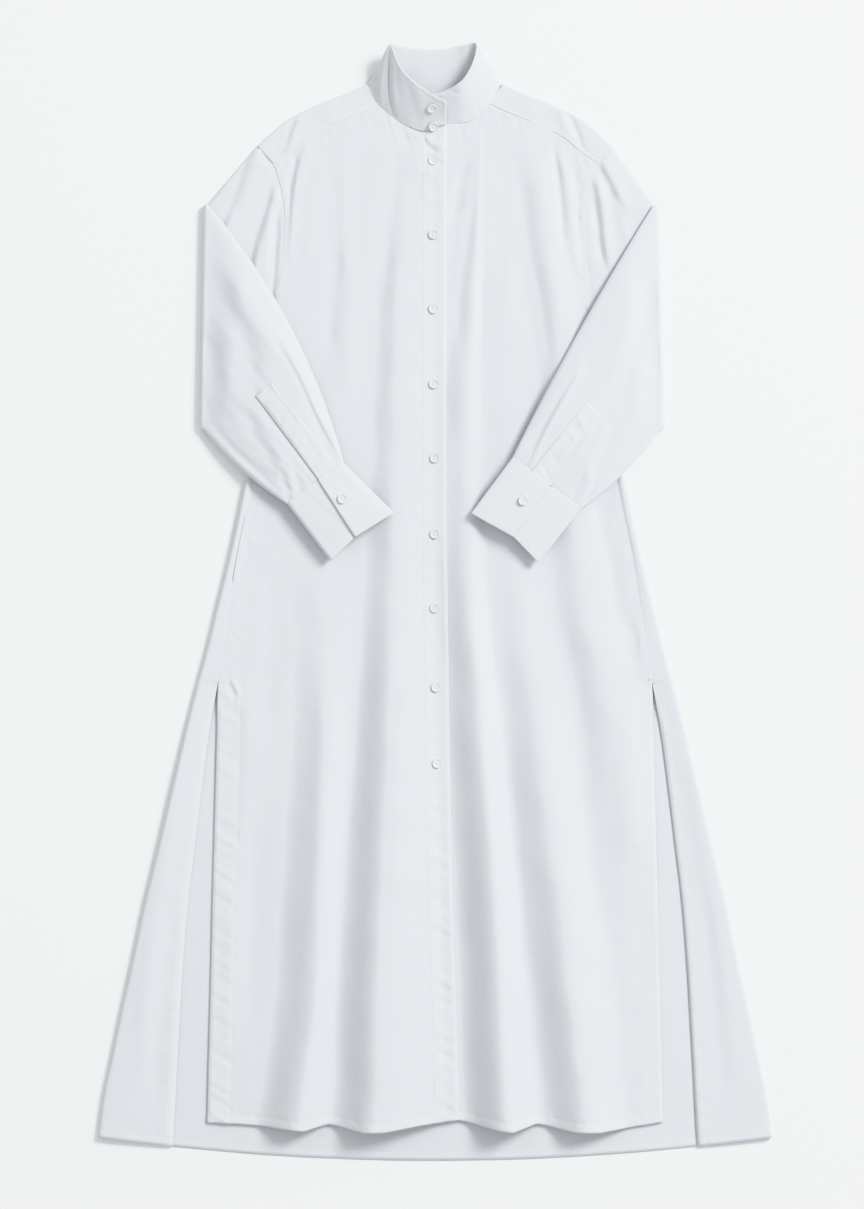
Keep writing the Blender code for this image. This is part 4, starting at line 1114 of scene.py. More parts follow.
def make_buttonhole_band():
    """The doubled band on top, from the collar's foot to the hem."""
    y = band_rows()
    across = [np.linspace(0, 0.2, 7), np.linspace(0.2, 0.8, 9)[1:], np.linspace(0.8, 1, 7)[1:]]
    across = np.concatenate(across)
    edges = down_table(BAND, y, "right_edge"), down_table(BAND, y, "left_edge")
    x = mix(edges[0][:, None], edges[1][:, None], across[None])
    neck = np.array([at_neck(COLLAR[k], UNDER_COLLAR) for k in (2, 1, 0)])
    top_y = smooth_line((0, 0.5, 1), neck[:, 1], across)[None]
    yy = np.broadcast_to(y[:, None], x.shape)
    yy = yy + ease((yy - 530) / 46) * (top_y - (BAND_TOP + 0.5))
    yy = drawn_to_hem(x, yy)
    z = band_height(x, yy, across[None])
    tug = 0.25 + 0.75 * ease((-yy - 190) / 120)
    z = z + tug * 0.8 * ripple(yy + 14 * across[None], 90, 60, 15) * np.sin(math.pi * across[None]) ** 0.7
    z = z + 0.3 * ripple(yy, 91, 34, 11) * bump_at(across[None], 0.3, 0.12)
    points = np.stack([x, yy, z], axis=-1)
    piece = cloth_piece("dress_buttonhole_band", points, thickness=DOUBLE, doubled=np.ones_like(x))
    rows = [inset_line(points, "first", 2.4), inset_line(points, "bottom", FRONT_HEM)]
    return piece, stitch_rows("stitches_buttonhole_band", rows, DOUBLE / 2)


def make_button_band():
    """The band under it, on the edge of the left front, where the buttons are sewn."""
    y = band_rows()[::2]
    across = np.linspace(0, 1, 11)
    right = down_table(BAND, y, "right_edge") + 0.8
    left = down_table(BAND, y, "left_edge") - 1.1
    x = mix(right[:, None], left[:, None], across[None])
    yy = np.broadcast_to(y[:, None], x.shape)
    yy = yy + ease((yy - 530) / 46) * 5.5
    yy = drawn_to_hem(x, yy)
    z = front_height(x, yy) - 0.25
    return cloth_piece("dress_button_band", np.stack([x, yy, z], axis=-1), doubled=np.ones_like(x))


buttonhole_band, band_stitches = make_buttonhole_band()
dress_node(buttonhole_band, "buttonhole_band")
button_band = make_button_band()
dress_node(button_band, "button_band")

# %% [markdown]
# ## The collar
# The collar stands up round the neck, one doubled band whose ends overlap in front. It leans inwards, and
# where it is held by its button it buckles into a few upright creases.

# %% The collar
# Creases run up the collar. Their places and widths are counted in rows of the collar's table.
CollarCrease = namedtuple("CollarCrease", "foot rim depth width")
COLLAR_CREASES = (
    CollarCrease(3.4, 6.3, -2.6, 0.17),
    CollarCrease(4.9, 6.9, 2.6, 0.55),
    CollarCrease(2.9, 5.0, 1.0, 0.45),
    CollarCrease(1.9, 2.9, -0.8, 0.40),
    CollarCrease(9.4, 9.0, 1.0, 0.50),
    CollarCrease(12.6, 12.3, -1.2, 0.40),
    CollarCrease(13.4, 13.1, 1.0, 0.40),
    CollarCrease(17.2, 16.4, -0.6, 0.50),
    CollarCrease(19.0, 18.4, 0.7, 0.50),
)


COLLAR_STEPS = 7  # columns from one row of the table to the next


def make_collar():
    """The stand-up collar, with its creases and the stitches along its foot and its rim."""
    steps = 5
    foot = np.stack([column_of(COLLAR, f"foot_{k}") for k in "xyz"], axis=-1)
    rim = np.stack([column_of(COLLAR, f"rim_{k}") for k in "xyz"], axis=-1)
    coarse = [mix(foot, rim, step / (steps - 1)) for step in range(steps)]
    around = cells(*[COLLAR_STEPS] * (len(COLLAR) - 1))
    up = np.linspace(0, steps - 1, 27)
    points = refine(coarse, up, around)
    across = np.gradient(points, axis=1)
    rising = np.gradient(points, axis=0)
    outward = np.cross(rising, across)
    outward /= np.linalg.norm(outward, axis=2, keepdims=True)
    from_centre = points[..., :2] - NECK_CENTRE
    outward *= np.sign((outward[..., :2] * from_centre).sum(axis=-1, keepdims=True))
    height = (up / (steps - 1))[:, None]
    push = np.zeros(points.shape[:2])
    for crease in COLLAR_CREASES:
        centre = mix(crease.foot, crease.rim, height)
        near = bump_at(around[None], centre, crease.width)
        push += crease.depth * near * np.sin(math.pi * np.clip(height * 0.86 + 0.07, 0, 1))
    near_rim, near_foot = bump_at(height, 0.93, 0.07), bump_at(height, 0.1, 0.1)
    push += 0.25 * ripple(around[None] * 14 + height * 6, 101, 40, 11) * near_rim
    push += 0.3 * ripple(around[None] * 14, 102, 36, 10) * near_foot
    # in front, the foot turns out over the panels it is sewn to
    in_front = ease((points[..., 2].min(0) - 2.2) / 2.0)[None]
    flare = in_front * bump_at(height, 0, 0.035)
    flat_out = outward * np.array([1.0, 1.0, 0.0])
    points = points + outward * push[..., None] + 1.2 * flare[..., None] * flat_out
    points[..., 2] -= 0.6 * flare
    piece = cloth_piece("dress_collar", points, thickness=STIFF_DOUBLE, doubled=np.ones(points.shape[:2]))
    outside = points + STIFF_DOUBLE / 2 * outward
    right_side = outside[:, : (BEHIND.start + 1) * COLLAR_STEPS]
    left_side = outside[:, BEHIND.stop * COLLAR_STEPS :]
    places = (("top", EDGE_STITCH), ("bottom", 3.4), ("bottom", 9.0))
    rows = [inset_line(right_side, edge, away) for edge, away in places]
    rows += [inset_line(left_side, edge, away) for edge, away in places[:2]]
    return piece, stitch_rows("stitches_collar", rows, 0.0)


collar, collar_stitches = make_collar()
dress_node(collar, "collar")

# %% [markdown]
# ## The sleeves
# A sleeve is a flat tube, folded once across its outer edge so that the forearm lies back over the front. We
# work out the middle of the tube, ring by ring, from the armhole over the fold to the cuff, and set the two
# layers of cloth on either side of it. The upper layer puffs up a little and carries the creases.

# %% Sleeve creases
# Routes run down the dress; widths are on the wearer's right and left of them.
UPPER_ARM_CREASES = {
    RIGHT: (
        Crease(3.0, 4.5, 16, ((-208, 562), (-222, 540), (-238, 500), (-255, 452), (-260, 430))),
        Crease(-1.6, 9, 5, ((-216, 556), (-232, 520), (-250, 470))),
        Crease(3.4, 4.5, 10, ((-188, 528), (-198, 490), (-210, 455), (-218, 420), (-222, 380))),
        Crease(-2.0, 8, 5, ((-196, 520), (-208, 475), (-222, 430), (-228, 395))),
        Crease(-4.2, 3.2, 4.2, ((-191, 500), (-194, 470), (-196, 430), (-199, 385), (-204, 345))),
        Crease(1.8, 4, 4, ((-201, 480), (-205, 440), (-209, 395))),
        Crease(-1.4, 4, 4, ((-228, 548), (-240, 528), (-256, 510))),
    ),
    LEFT: (
        Crease(2.6, 4, 13, ((196, 556), (208, 534), (220, 512), (232, 488), (240, 470))),
        Crease(-1.4, 7, 4, ((190, 552), (206, 520), (222, 486))),
        Crease(3.2, 3.6, 8, ((192, 532), (203, 496), (209, 440), (215, 400))),
        Crease(-2.4, 4, 4, ((188, 520), (196, 480), (201, 440), (206, 405))),
        Crease(1.6, 6, 9, ((218, 520), (228, 474), (238, 430))),
    ),
}
FOREARM_CREASES = {
    RIGHT: (
        Crease(2.6, 2.6, 8, ((-199, 340), (-173, 291), (-158, 264), (-142, 228), (-125, 195), (-112, 169),
               (-106, 156))),
        Crease(-1.6, 7, 3, ((-190, 318), (-168, 276), (-150, 236), (-130, 197), (-116, 172))),
        Crease(-2.4, 14, 12, ((-266, 410), (-254, 368), (-236, 330), (-222, 285), (-216, 250))),
        Crease(1.8, 14, 12, ((-244, 402), (-226, 362), (-208, 330), (-192, 290))),
        Crease(-1.4, 12, 12, ((-276, 330), (-268, 290), (-256, 250))),
        Crease(1.2, 14, 12, ((-262, 300), (-250, 262), (-236, 228))),
        Crease(-1.3, 5, 4, ((-280, 226), (-252, 194), (-226, 168), (-200, 146), (-182, 134))),
        Crease(1.3, 5, 5, ((-286, 218), (-256, 186), (-229, 160), (-203, 138), (-186, 127))),
        Crease(-1.5, 9, 9, ((-236, 236), (-216, 205), (-200, 180), (-188, 158))),
        Crease(1.4, 9, 9, ((-222, 226), (-204, 198), (-190, 174), (-176, 152))),
        Crease(-1.0, 3, 5, ((-190, 166), (-184, 145), (-178, 121), (-175, 110))),
        Crease(0.8, 4, 3, ((-182, 168), (-176, 146), (-170, 124), (-167, 112))),
        Crease(-0.9, 3, 5, ((-174, 172), (-168, 150), (-162, 131), (-158, 118))),
        Crease(-1.6, 7, 2.2, ((-224, 262), (-200, 228), (-172, 190), (-150, 159), (-138, 142))),
    ),
    LEFT: (
        Crease(2.4, 2.6, 4.0, ((184, 298), (171, 271), (143, 222), (116, 168), (110, 156))),
        Crease(-1.4, 6, 2.6, ((162, 268), (136, 222), (112, 178))),
        Crease(-2.2, 12, 14, ((262, 400), (259, 364), (248, 318), (236, 280), (214, 232))),
        Crease(1.7, 12, 12, ((244, 400), (238, 350), (226, 305), (206, 262))),
        Crease(-1.4, 8, 9, ((208, 350), (200, 324), (186, 296), (178, 276))),
        Crease(-1.3, 12, 12, ((274, 330), (268, 290), (252, 240))),
        Crease(1.3, 12, 12, ((262, 290), (252, 256), (236, 222))),
        Crease(-1.4, 5, 5, ((272, 228), (246, 190), (222, 164), (198, 143))),
        Crease(1.2, 5, 5, ((280, 220), (250, 180), (226, 154), (202, 134))),
        Crease(-1.5, 8, 8, ((226, 226), (212, 200), (200, 172), (192, 150))),
        Crease(1.4, 8, 8, ((212, 222), (198, 192), (186, 165), (178, 144))),
        Crease(-1.6, 3, 3, ((200, 158), (194, 143), (186, 124), (182, 114))),
        Crease(1.2, 3, 3, ((192, 158), (186, 143), (178, 126), (175, 116))),
        Crease(-1.4, 3, 3, ((184, 164), (178, 150), (170, 134), (166, 124))),
        Crease(1.4, 5, 2.2, ((202, 236), (181, 192), (165, 166), (140, 142), (134, 136))),
        Crease(-1.3, 6, 6, ((178, 226), (158, 196), (140, 170), (130, 156))),
    ),
}
# The forearm's upper edge: what lies above it belongs to the upper arm.
FOREARM_EDGE = {
    RIGHT: ((111, 170), (147, 276), (180, 329), (223, 382), (284, 486)),
    LEFT: ((95, 177), (138, 261), (166, 309), (214, 382), (273, 486)),
}
print("creases on a forearm:", [len(creases) for creases in FOREARM_CREASES.values()])


# %% The sleeves
def armhole_line(side, rows):
    """Points of the sleeve's armhole edge at rows of the table."""
    x = smooth_line(range(len(ARMHOLE)), column_of(ARMHOLE, "x"), rows) - UNDERLAP
    y = smooth_line(range(len(ARMHOLE)), column_of(ARMHOLE, "y"), rows) + UNDERLAP * (1 - ease(rows / 2))
    return np.stack([side * x, y], axis=-1)


def sleeve_fold_line(sleeve, across, inset):
    """Points of the fold at a sleeve's elbow from above, so far in from its outline."""
    x = mix(sleeve.fold_top[0], sleeve.elbow[0], across) - inset
    return np.stack([sleeve.side * x, mix(sleeve.fold_top[1], sleeve.elbow[1], across)], axis=-1)


def forearm_plan(sleeve, forward, across):
    """Points of the folded forearm from above. Its edges bow outwards a little."""
    forward, across = np.broadcast_arrays(np.asarray(forward, float), np.asarray(across, float))
    start = sleeve_fold_line(sleeve, across, SLEEVE_INSET)
    end_x = sleeve.side * mix(sleeve.seam_top[0], sleeve.seam_low[0], across)
    end = np.stack([end_x, mix(sleeve.seam_top[1], sleeve.seam_low[1], across)], axis=-1)
    plan = start + (end - start) * forward[..., None]
    bow = 4 * forward * (1 - forward)
    top_bow = sleeve.bow_top * bow * (1 - across) ** 2
    low_bow = sleeve.bow_low * bow * across**2
    plan[..., 0] += sleeve.side * (0.66 * low_bow - 0.88 * top_bow)
    plan[..., 1] += 0.48 * top_bow - 0.75 * low_bow
    return plan


def forearm_top(sleeve, forward, across):
    """The middle of the forearm's upper cloth: points in space, with puff and creases."""
    plan = forearm_plan(sleeve, forward, across)
    forward, across = np.broadcast_arrays(np.asarray(forward, float), np.asarray(across, float))
    z = smooth_line(FOREARM_ALONG, FOREARM_Z, forward) + SLEEVE_HALF
    inside = np.clip(4 * across * (1 - across), 0, 1) ** 0.55
    slope = np.clip(np.minimum(across / 0.22, (1 - across) / 0.78), 0, 1)
    puff = 2.0 * inside + FOREARM_PUFF[sleeve.side] * np.sin(slope * math.pi / 2)
    puff = puff * ease(forward / 0.25) * (1 - 0.75 * ease((forward - 0.7) / 0.3))
    folds = crease_height(plan[..., 0], plan[..., 1], FOREARM_CREASES[sleeve.side])
    small = 0.35 * ripple(across * 170 + forward * 40, 120 + sleeve.side, 60, 17) * ease(forward / 0.3)
    z = z + puff + inside**0.5 * (folds + small)
    return np.concatenate([plan, z[..., None]], axis=-1)


def find_on_forearm(sleeve, plan):
    """How far forward along the forearm and across it a point of the plan is, found in a few steps."""
    forward, across = np.full(plan.shape[:2], 0.7), np.full(plan.shape[:2], 0.4)
    for _ in range(12):
        here = forearm_plan(sleeve, forward, across)
        ahead = (forearm_plan(sleeve, forward + 0.001, across) - here) * 1000
        aside = (forearm_plan(sleeve, forward, across + 0.001) - here) * 1000
        miss = plan - here
        area = ahead[..., 0] * aside[..., 1] - ahead[..., 1] * aside[..., 0]
        forward = forward + (miss[..., 0] * aside[..., 1] - miss[..., 1] * aside[..., 0]) / area
        across = across + (ahead[..., 0] * miss[..., 1] - ahead[..., 1] * miss[..., 0]) / area
    return forward, across


EDGE_ROUND = 0.35  # of a row of the armhole's table: how far in the tube's edge is round
EDGE_STEPS = np.array([0, 0.012, 0.045, 0.1, 0.17, 0.25, EDGE_ROUND])
FLAT_ROWS = np.linspace(EDGE_ROUND, LAST_ROW - EDGE_ROUND, 60)[1:-1]
OUTER_ROWS = np.concatenate([EDGE_STEPS, FLAT_ROWS, LAST_ROW - EDGE_STEPS[::-1]])


def edge_round(rows):
    """Share of the tube's half height: 0 at its two edges and 1 over its flat part."""
    inner = np.minimum(rows, LAST_ROW - rows)
    return np.sqrt(np.clip(1 - (1 - np.minimum(inner / EDGE_ROUND, 1)) ** 2, 0, 1))


def sleeve_layer(sleeve, layer):
    """One layer of a sleeve from the armhole to the cuff. Layer 1 is on top on the forearm, -1 below."""
    across = (OUTER_ROWS / LAST_ROW)[None]
    half = SLEEVE_HALF * edge_round(OUTER_ROWS)[None] * layer
    armhole = armhole_line(sleeve.side, OUTER_ROWS)[None]
    fold = sleeve_fold_line(sleeve, across, SLEEVE_INSET)
    step = np.linspace(0, 1, 30)[:-1, None]
    plan = mix(armhole, fold, step[..., None])
    upper_z = FLAT_MID - half * np.ones_like(step)
    if layer < 0:
        x, y = plan[..., 0], plan[..., 1]
        edge = np.array(FOREARM_EDGE[sleeve.side], float)
        edge_y = np.interp(np.abs(x), edge[:, 0], edge[:, 1])
        shown = ease((y - edge_y - 2) / 16) * edge_round(OUTER_ROWS)[None]
        from_seam = step * 90 - UNDERLAP
        folds = crease_height(x, y, UPPER_ARM_CREASES[sleeve.side]) + 0.8
        folds = folds + 0.6 * ripple(y, 110 + sleeve.side, 50, 13) * bump_at(from_seam, 7, 7)
        upper_z = upper_z + shown * ease(from_seam / 3.5) * folds - SUNK * ease((1.0 - from_seam) / 1.2)
        upper_z = np.maximum(upper_z, BACK_Z + 1.2 + 0 * step)
    upper = np.concatenate([plan, upper_z[..., None]], axis=-1)
    turn = np.linspace(0, math.pi, 13)[:-1, None]
    inset = SLEEVE_INSET - SLEEVE_TURN_R * np.sin(turn)
    turned = np.stack([sleeve_fold_line(sleeve, across[0], i) for i in inset[:, 0]])
    turned[..., 0] += sleeve.side * np.sin(turn) * half
    turn_z = FLAT_MID + SLEEVE_TURN_R * (1 - np.cos(turn)) - np.cos(turn) * half
    middle = np.concatenate([turned, turn_z[..., None]], axis=-1)
    forward = np.linspace(0, 1, 96)[:, None]
    if layer > 0:
        lower = forearm_top(sleeve, forward, across)
        lower[..., 2] -= 0.9 * ease((forward - 0.975) / 0.02)
        base = smooth_line(FOREARM_ALONG, FOREARM_Z, forward)
        lower[..., 2] = base + (lower[..., 2] - base) * edge_round(OUTER_ROWS)[None]
    else:
        plan = forearm_plan(sleeve, forward, across)
        z = smooth_line(FOREARM_ALONG, FOREARM_Z, forward) + half
        lower = np.concatenate([plan, z[..., None]], axis=-1)
    return np.concatenate([upper, middle, lower])


def make_sleeve(sleeve):
    """One sleeve: its two layers are joined all round."""
    outer, inner = sleeve_layer(sleeve, 1), sleeve_layer(sleeve, -1)
    points = np.concatenate([outer, inner[:, -2:0:-1]], axis=1)
    single = np.zeros(points.shape[:2])
    return cloth_piece(f"dress_sleeve_{SIDE_NAMES[sleeve.side]}", points, ring=True, doubled=single)


for sleeve in SLEEVES:
    name = SIDE_NAMES[sleeve.side]
    piece = make_sleeve(sleeve)
    dress_node(piece, f"sleeve_{name}")

# %% [markdown]
# ## The cuffs
# A cuff is a doubled band round the wrist, pressed flat. Its two ends overlap on top, where the button is.


# %% The cuffs
CUFF_STITCH = 4.5  # the row round the outer edges of a cuff, from the edge


def cuff_plan(sleeve, forward, across):
    """Points of a cuff from above: forward from its seam to its end, across from its upper edge."""
    forward, across = np.broadcast_arrays(np.asarray(forward, float), np.asarray(across, float))
    knots = (0, 0.5, 1)
    start = np.array([sleeve.seam_top, sleeve.seam_mid, sleeve.seam_low])
    end = np.array([sleeve.end_top, sleeve.end_mid, sleeve.end_low])
    ends = [np.stack([np.interp(across, knots, p[:, k]) for k in (0, 1)], axis=-1) for p in (start, end)]
    plan = mix(ends[0], ends[1], forward[..., None])
    plan[..., 0] *= sleeve.side
    return plan


CUFF_AROUND = (8, 9, 5, 3, 3, 4, 5, 5, 10, 4, 3, 3, 4, 16, 9)  # columns between the rows of the section
FREE_END = sum(CUFF_AROUND[:2]) + 1  # columns of the end that lies on top
UNDER_END = slice(sum(CUFF_AROUND[:12]), sum(CUFF_AROUND[:14]))  # columns of the end that shows beside it
UNDER_SEAM = -0.03  # how far forward a cuff starts, over the end of its sleeve


def cuff_grid(sleeve):
    """Points of a cuff: round the wrist from its free end on top, and from its seam to its edge."""
    around = cells(*CUFF_AROUND)
    section = smooth_line(range(len(CUFF_SECTION)), np.array(CUFF_SECTION, float), around)
    forward = [[UNDER_SEAM, -0.015, 0.005, 0.03], np.linspace(0.06, 0.94, 26), [0.96, 0.98, 1.0]]
    forward = np.concatenate(forward)[:, None]
    across, z = section[None, :, 0], section[None, :, 1]
    plan = cuff_plan(sleeve, forward, across)
    top_layer = (np.arange(len(around)) > np.argmax(section[:, 0]))[None]
    free_end = (np.arange(len(around)) < FREE_END)[None]
    ridge = np.minimum(across / 0.5, (1 - across) / 0.5)
    puff = CUFF_PUFF[sleeve.side] * ridge * (0.55 + 0.45 * np.sin(math.pi * np.clip(forward, 0, 1)))
    waves = 0.35 * ripple(across * 90 + forward * 25, 130 + sleeve.side, 50, 15)
    rise = np.where(top_layer | free_end, puff + waves * np.sin(math.pi * np.clip(across, 0, 1)), 0)
    rise = rise - np.where(top_layer & (across < 0.5), 0.5, 0)
    at_seam = bump_at(forward, UNDER_SEAM, 0.02)
    rise = rise - 0.35 * at_seam * np.where(top_layer | free_end, 1, 0)
    z = CUFF_Z + z + rise
    return np.concatenate([plan, np.broadcast_to(z, plan.shape[:2])[..., None]], axis=-1)


def make_cuff(sleeve):
    """One cuff with the stitches along its edges."""
    points = cuff_grid(sleeve)
    name = SIDE_NAMES[sleeve.side]
    doubled = np.ones(points.shape[:2])
    piece = cloth_piece(f"dress_cuff_{name}", points, thickness=STIFF_DOUBLE, doubled=doubled)
    over, under = points[:, : FREE_END + 2], points[:, UNDER_END][:, ::-1]
    places = (("top", EDGE_STITCH), ("top", SECOND_STITCH), ("bottom", CUFF_STITCH))
    rows = [inset_line(over, "first", CUFF_STITCH)[2:-2]]
    rows += [inset_line(over, edge, away)[3:] for edge, away in places]
    rows += [inset_line(under, edge, away) for edge, away in places]
    return piece, stitch_rows(f"stitches_cuff_{name}", rows, STIFF_DOUBLE / 2)


PLACKET_RISE = {RIGHT: (1.1, 0.3), LEFT: (0.35, 0.25)}  # of its outer and its inner edge over the sleeve


def make_sleeve_placket(sleeve):
    """The placket that finishes the sleeve's opening, with the stitches round it and across its top."""
    share = np.linspace(0, 1, 60)[:, None, None]
    wide = np.linspace(0, 1, 17)[None, :, None]
    tip, corner, outer_end, inner_end = (np.array(p, float) for p in SLEEVE_PLACKETS[sleeve.side])
    plan = mix(mix(tip, outer_end, share), mix(corner, inner_end, share), wide)
    share, wide = share[..., 0], wide[..., 0]
    points = forearm_top(sleeve, *find_on_forearm(sleeve, plan))
    outer_rise, inner_rise = PLACKET_RISE[sleeve.side]
    points[..., 2] += mix(outer_rise, inner_rise, ease(wide / 0.8)) * (1 - 0.8 * ease((share - 0.9) / 0.1))
    inside = ease(np.minimum(wide, 1 - wide) / 0.3)
    points[..., 2] += 0.6 * inside * ripple(share * 110 + wide * 9, 140 + sleeve.side, 34, 10)
    name = SIDE_NAMES[sleeve.side]
    doubled = np.ones(points.shape[:2])
    piece = cloth_piece(f"dress_sleeve_placket_{name}", points, thickness=SMALL_DOUBLE, doubled=doubled)
    rows = [inset_line(points, edge, 2.0) for edge in ("first", "last", "top")]
    rows.append(inset_line(points[:16], "bottom", 1.0))
    return piece, stitch_rows(f"stitches_sleeve_placket_{name}", rows, SMALL_DOUBLE / 2)


for sleeve in SLEEVES:
    name = SIDE_NAMES[sleeve.side]
    cuff, cuff_stitches = make_cuff(sleeve)
    dress_node(cuff, f"cuff_{name}")
    placket, placket_stitches = make_sleeve_placket(sleeve)
    dress_node(placket, f"sleeve_placket_{name}")

# %% [markdown]
# ## The pocket bags
# They hang inside, between the back and the front, from an opening in each side seam.


# %% The pocket bags
def make_pocket(side):
    """A flat pocket bag of two layers sewn together."""
    shares = np.linspace(0, 1, 5)
    coarse = []
    for row in POCKET:
        coarse.append([(side * mix(row.outer, row.inner, share), row.y, FLAT_MID) for share in shares])
    points = refine(coarse, cells(*[6] * (len(POCKET) - 1)), cells(5, 5, 5, 5))
    points[..., 2] += 0.3 * ripple(points[..., 0] + 0.4 * points[..., 1], 150 + side, 90, 30)
    doubled = np.ones(points.shape[:2])
    return cloth_piece(f"dress_pocket_{SIDE_NAMES[side]}", points, thickness=DOUBLE, doubled=doubled)


for side in (RIGHT, LEFT):
    pocket = make_pocket(side)
    dress_node(pocket, f"pocket_{SIDE_NAMES[side]}")

# %% [markdown]
# ## The buttons
# A shirt button is a disc with a raised rim, a dished middle and four holes. We model one by hand: a
# cylinder, whose top face is inset and pushed down, and four pins that a Boolean cuts out. The thread that
# sews it on crosses the dish in two bars and goes down through the holes to a short shank.


# %% Model one button
def deselected_add(operator, **sizes):
    """Add a primitive with nothing else selected, and give it back."""
    bpy.ops.object.select_all(action="DESELECT")
    operator(**sizes)
    return bpy.context.active_object


def model_button():
    """The button at the origin, with its underside on z = 0."""
    radius, thick = BUTTON_R * MM, BUTTON_T * MM
    made = deselected_add(
        bpy.ops.mesh.primitive_cylinder_add,
        vertices=40,
        radius=radius,
        depth=thick,
        location=(0, 0, thick / 2),
    )
    made.name = "button_master"
    bpy.ops.object.transform_apply(location=True, rotation=True, scale=True)
    bpy.ops.object.mode_set(mode="EDIT")
    bpy.ops.mesh.select_all(action="DESELECT")
    shape = bmesh.from_edit_mesh(made.data)
    for face in shape.faces:
        face.select = face.normal.z > 0.9
    bmesh.update_edit_mesh(made.data)
    bpy.ops.mesh.inset(thickness=0.9 * MM, depth=0)
    bpy.ops.mesh.inset(thickness=0.8 * MM, depth=0)
    bpy.ops.transform.translate(value=(0, 0, -0.9 * MM))
    bpy.ops.mesh.select_all(action="DESELECT")
    shape = bmesh.from_edit_mesh(made.data)
    for face in shape.faces:
        face.select = face.normal.z < -0.9
    bmesh.update_edit_mesh(made.data)
    bpy.ops.mesh.inset(thickness=0.9 * MM, depth=0)
    bpy.ops.transform.translate(value=(0, 0, -0.001 * MM))
    bpy.ops.object.mode_set(mode="OBJECT")
    soften = made.modifiers.new("soften", "BEVEL")
    soften.width, soften.segments = 0.32 * MM, 3
    soften.limit_method, soften.angle_limit = "ANGLE", math.radians(24)
    bpy.ops.object.modifier_apply(modifier=soften.name)
    for x in (-HOLE_SPACING / 2, HOLE_SPACING / 2):
        for y in (-HOLE_SPACING / 2, HOLE_SPACING / 2):
            pin = deselected_add(
                bpy.ops.mesh.primitive_cylinder_add,
                vertices=14,
                radius=HOLE_R * MM,
                depth=4 * thick,
                location=(x * MM, y * MM, 0),
            )
            drill = made.modifiers.new("hole", "BOOLEAN")
            drill.operation, drill.object = "DIFFERENCE", pin
            bpy.ops.object.select_all(action="DESELECT")
            bpy.context.view_layer.objects.active = made
            made.select_set(True)
            bpy.ops.object.modifier_apply(modifier=drill.name)
            bpy.data.objects.remove(pin)
    bpy.ops.object.shade_smooth_by_angle(angle=math.radians(38))
    made.data.materials.clear()
    made.data.materials.append(button_plastic)
    return made


def model_button_thread():
    """The sewing thread of one button: three strands in each of two bars, and the shank under it."""
    strands = []
    top, reach = (BUTTON_T - 0.75) * MM, (HOLE_SPACING / 2 + 0.1) * MM
    for y in (-HOLE_SPACING / 2, HOLE_SPACING / 2):
        for shift in (-0.34, 0.0, 0.34):
            strand = deselected_add(
                bpy.ops.mesh.primitive_cylinder_add,
                vertices=8,
                radius=0.2 * MM,
                depth=2 * reach,
                location=(0, (y + shift) * MM, top + (0.12 if shift == 0 else 0.0) * MM),
                rotation=(0, math.pi / 2, 0),
            )
            strands.append(strand)
        for x in (-HOLE_SPACING / 2, HOLE_SPACING / 2):
            strands.append(
                deselected_add(
                    bpy.ops.mesh.primitive_cylinder_add,
                    vertices=10,
                    radius=0.55 * MM,
                    depth=(BUTTON_T + BUTTON_GAP - 0.7) * MM,
                    location=(x * MM, y * MM, (BUTTON_T - BUTTON_GAP - 0.7) / 2 * MM),
                )
            )
    bpy.ops.object.select_all(action="DESELECT")
    for strand in strands:
        strand.select_set(True)
    bpy.context.view_layer.objects.active = strands[0]
    bpy.ops.object.join()
    bpy.ops.object.transform_apply(location=True, rotation=True, scale=True)
    bpy.ops.object.shade_smooth_by_angle(angle=math.radians(50))
    made = bpy.context.active_object
    made.name = "button_thread_master"
    made.data.materials.clear()
    made.data.materials.append(thread)
    return made


RING_R, RING_THICK_R = 1.0, 0.45  # of the ring that a buttonhole is drawn out from


def model_buttonhole():
    """A buttonhole's ring of close stitches, drawn out to an oval."""
    made = deselected_add(
        bpy.ops.mesh.primitive_torus_add,
        major_segments=40,
        minor_segments=8,
        major_radius=RING_R * MM,
        minor_radius=RING_THICK_R * MM,
    )
    bpy.ops.object.mode_set(mode="EDIT")
    bpy.ops.mesh.select_all(action="SELECT")
    bpy.ops.transform.resize(value=(1.0, BUTTONHOLE_LENGTH / (2 * (RING_R + RING_THICK_R)), 0.8))
    bpy.ops.object.mode_set(mode="OBJECT")
    bpy.ops.object.shade_smooth()
    made.name = "buttonhole_master"
    made.data.materials.clear()
    made.data.materials.append(thread)
    return made


button_master = model_button()
thread_master = model_button_thread()
hole_master = model_buttonhole()
print("faces of a button:", len(button_master.data.polygons))


# %% Sew the buttons on
def button_frame(corner, right, up):
    """A matrix that stands a button on cloth, from three points of the cloth's top under it."""
    corner, right, up = Vector(corner), Vector(right), Vector(up)
    normal = (right - corner).cross(up - corner).normalized()
    turn = Vector((0, 0, 1)).rotation_difference(normal).to_matrix().to_4x4()
    turn.translation = (corner + normal * BUTTON_GAP) * MM
    return turn


def place_copy(master, name, matrix, node=None):
    """A copy of a modelled piece with its own mesh, placed in its mesh."""
    mesh = master.data.copy()
    mesh.transform(matrix)
    piece = bpy.data.objects.new(name, mesh)
    bpy.context.scene.collection.objects.link(piece)
    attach(piece, "root")
    if node:
        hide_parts(node)
    return piece


def band_top(x, y):
    """A point of the band's upper side."""
    along = float(down_table(BAND, y, "right_edge")), float(down_table(BAND, y, "left_edge"))
    share = (x - along[0]) / (along[1] - along[0])
    z = band_height(np.array([x]), np.array([y]), np.array([share]))[0]
    return x, y, float(z) + DOUBLE / 2


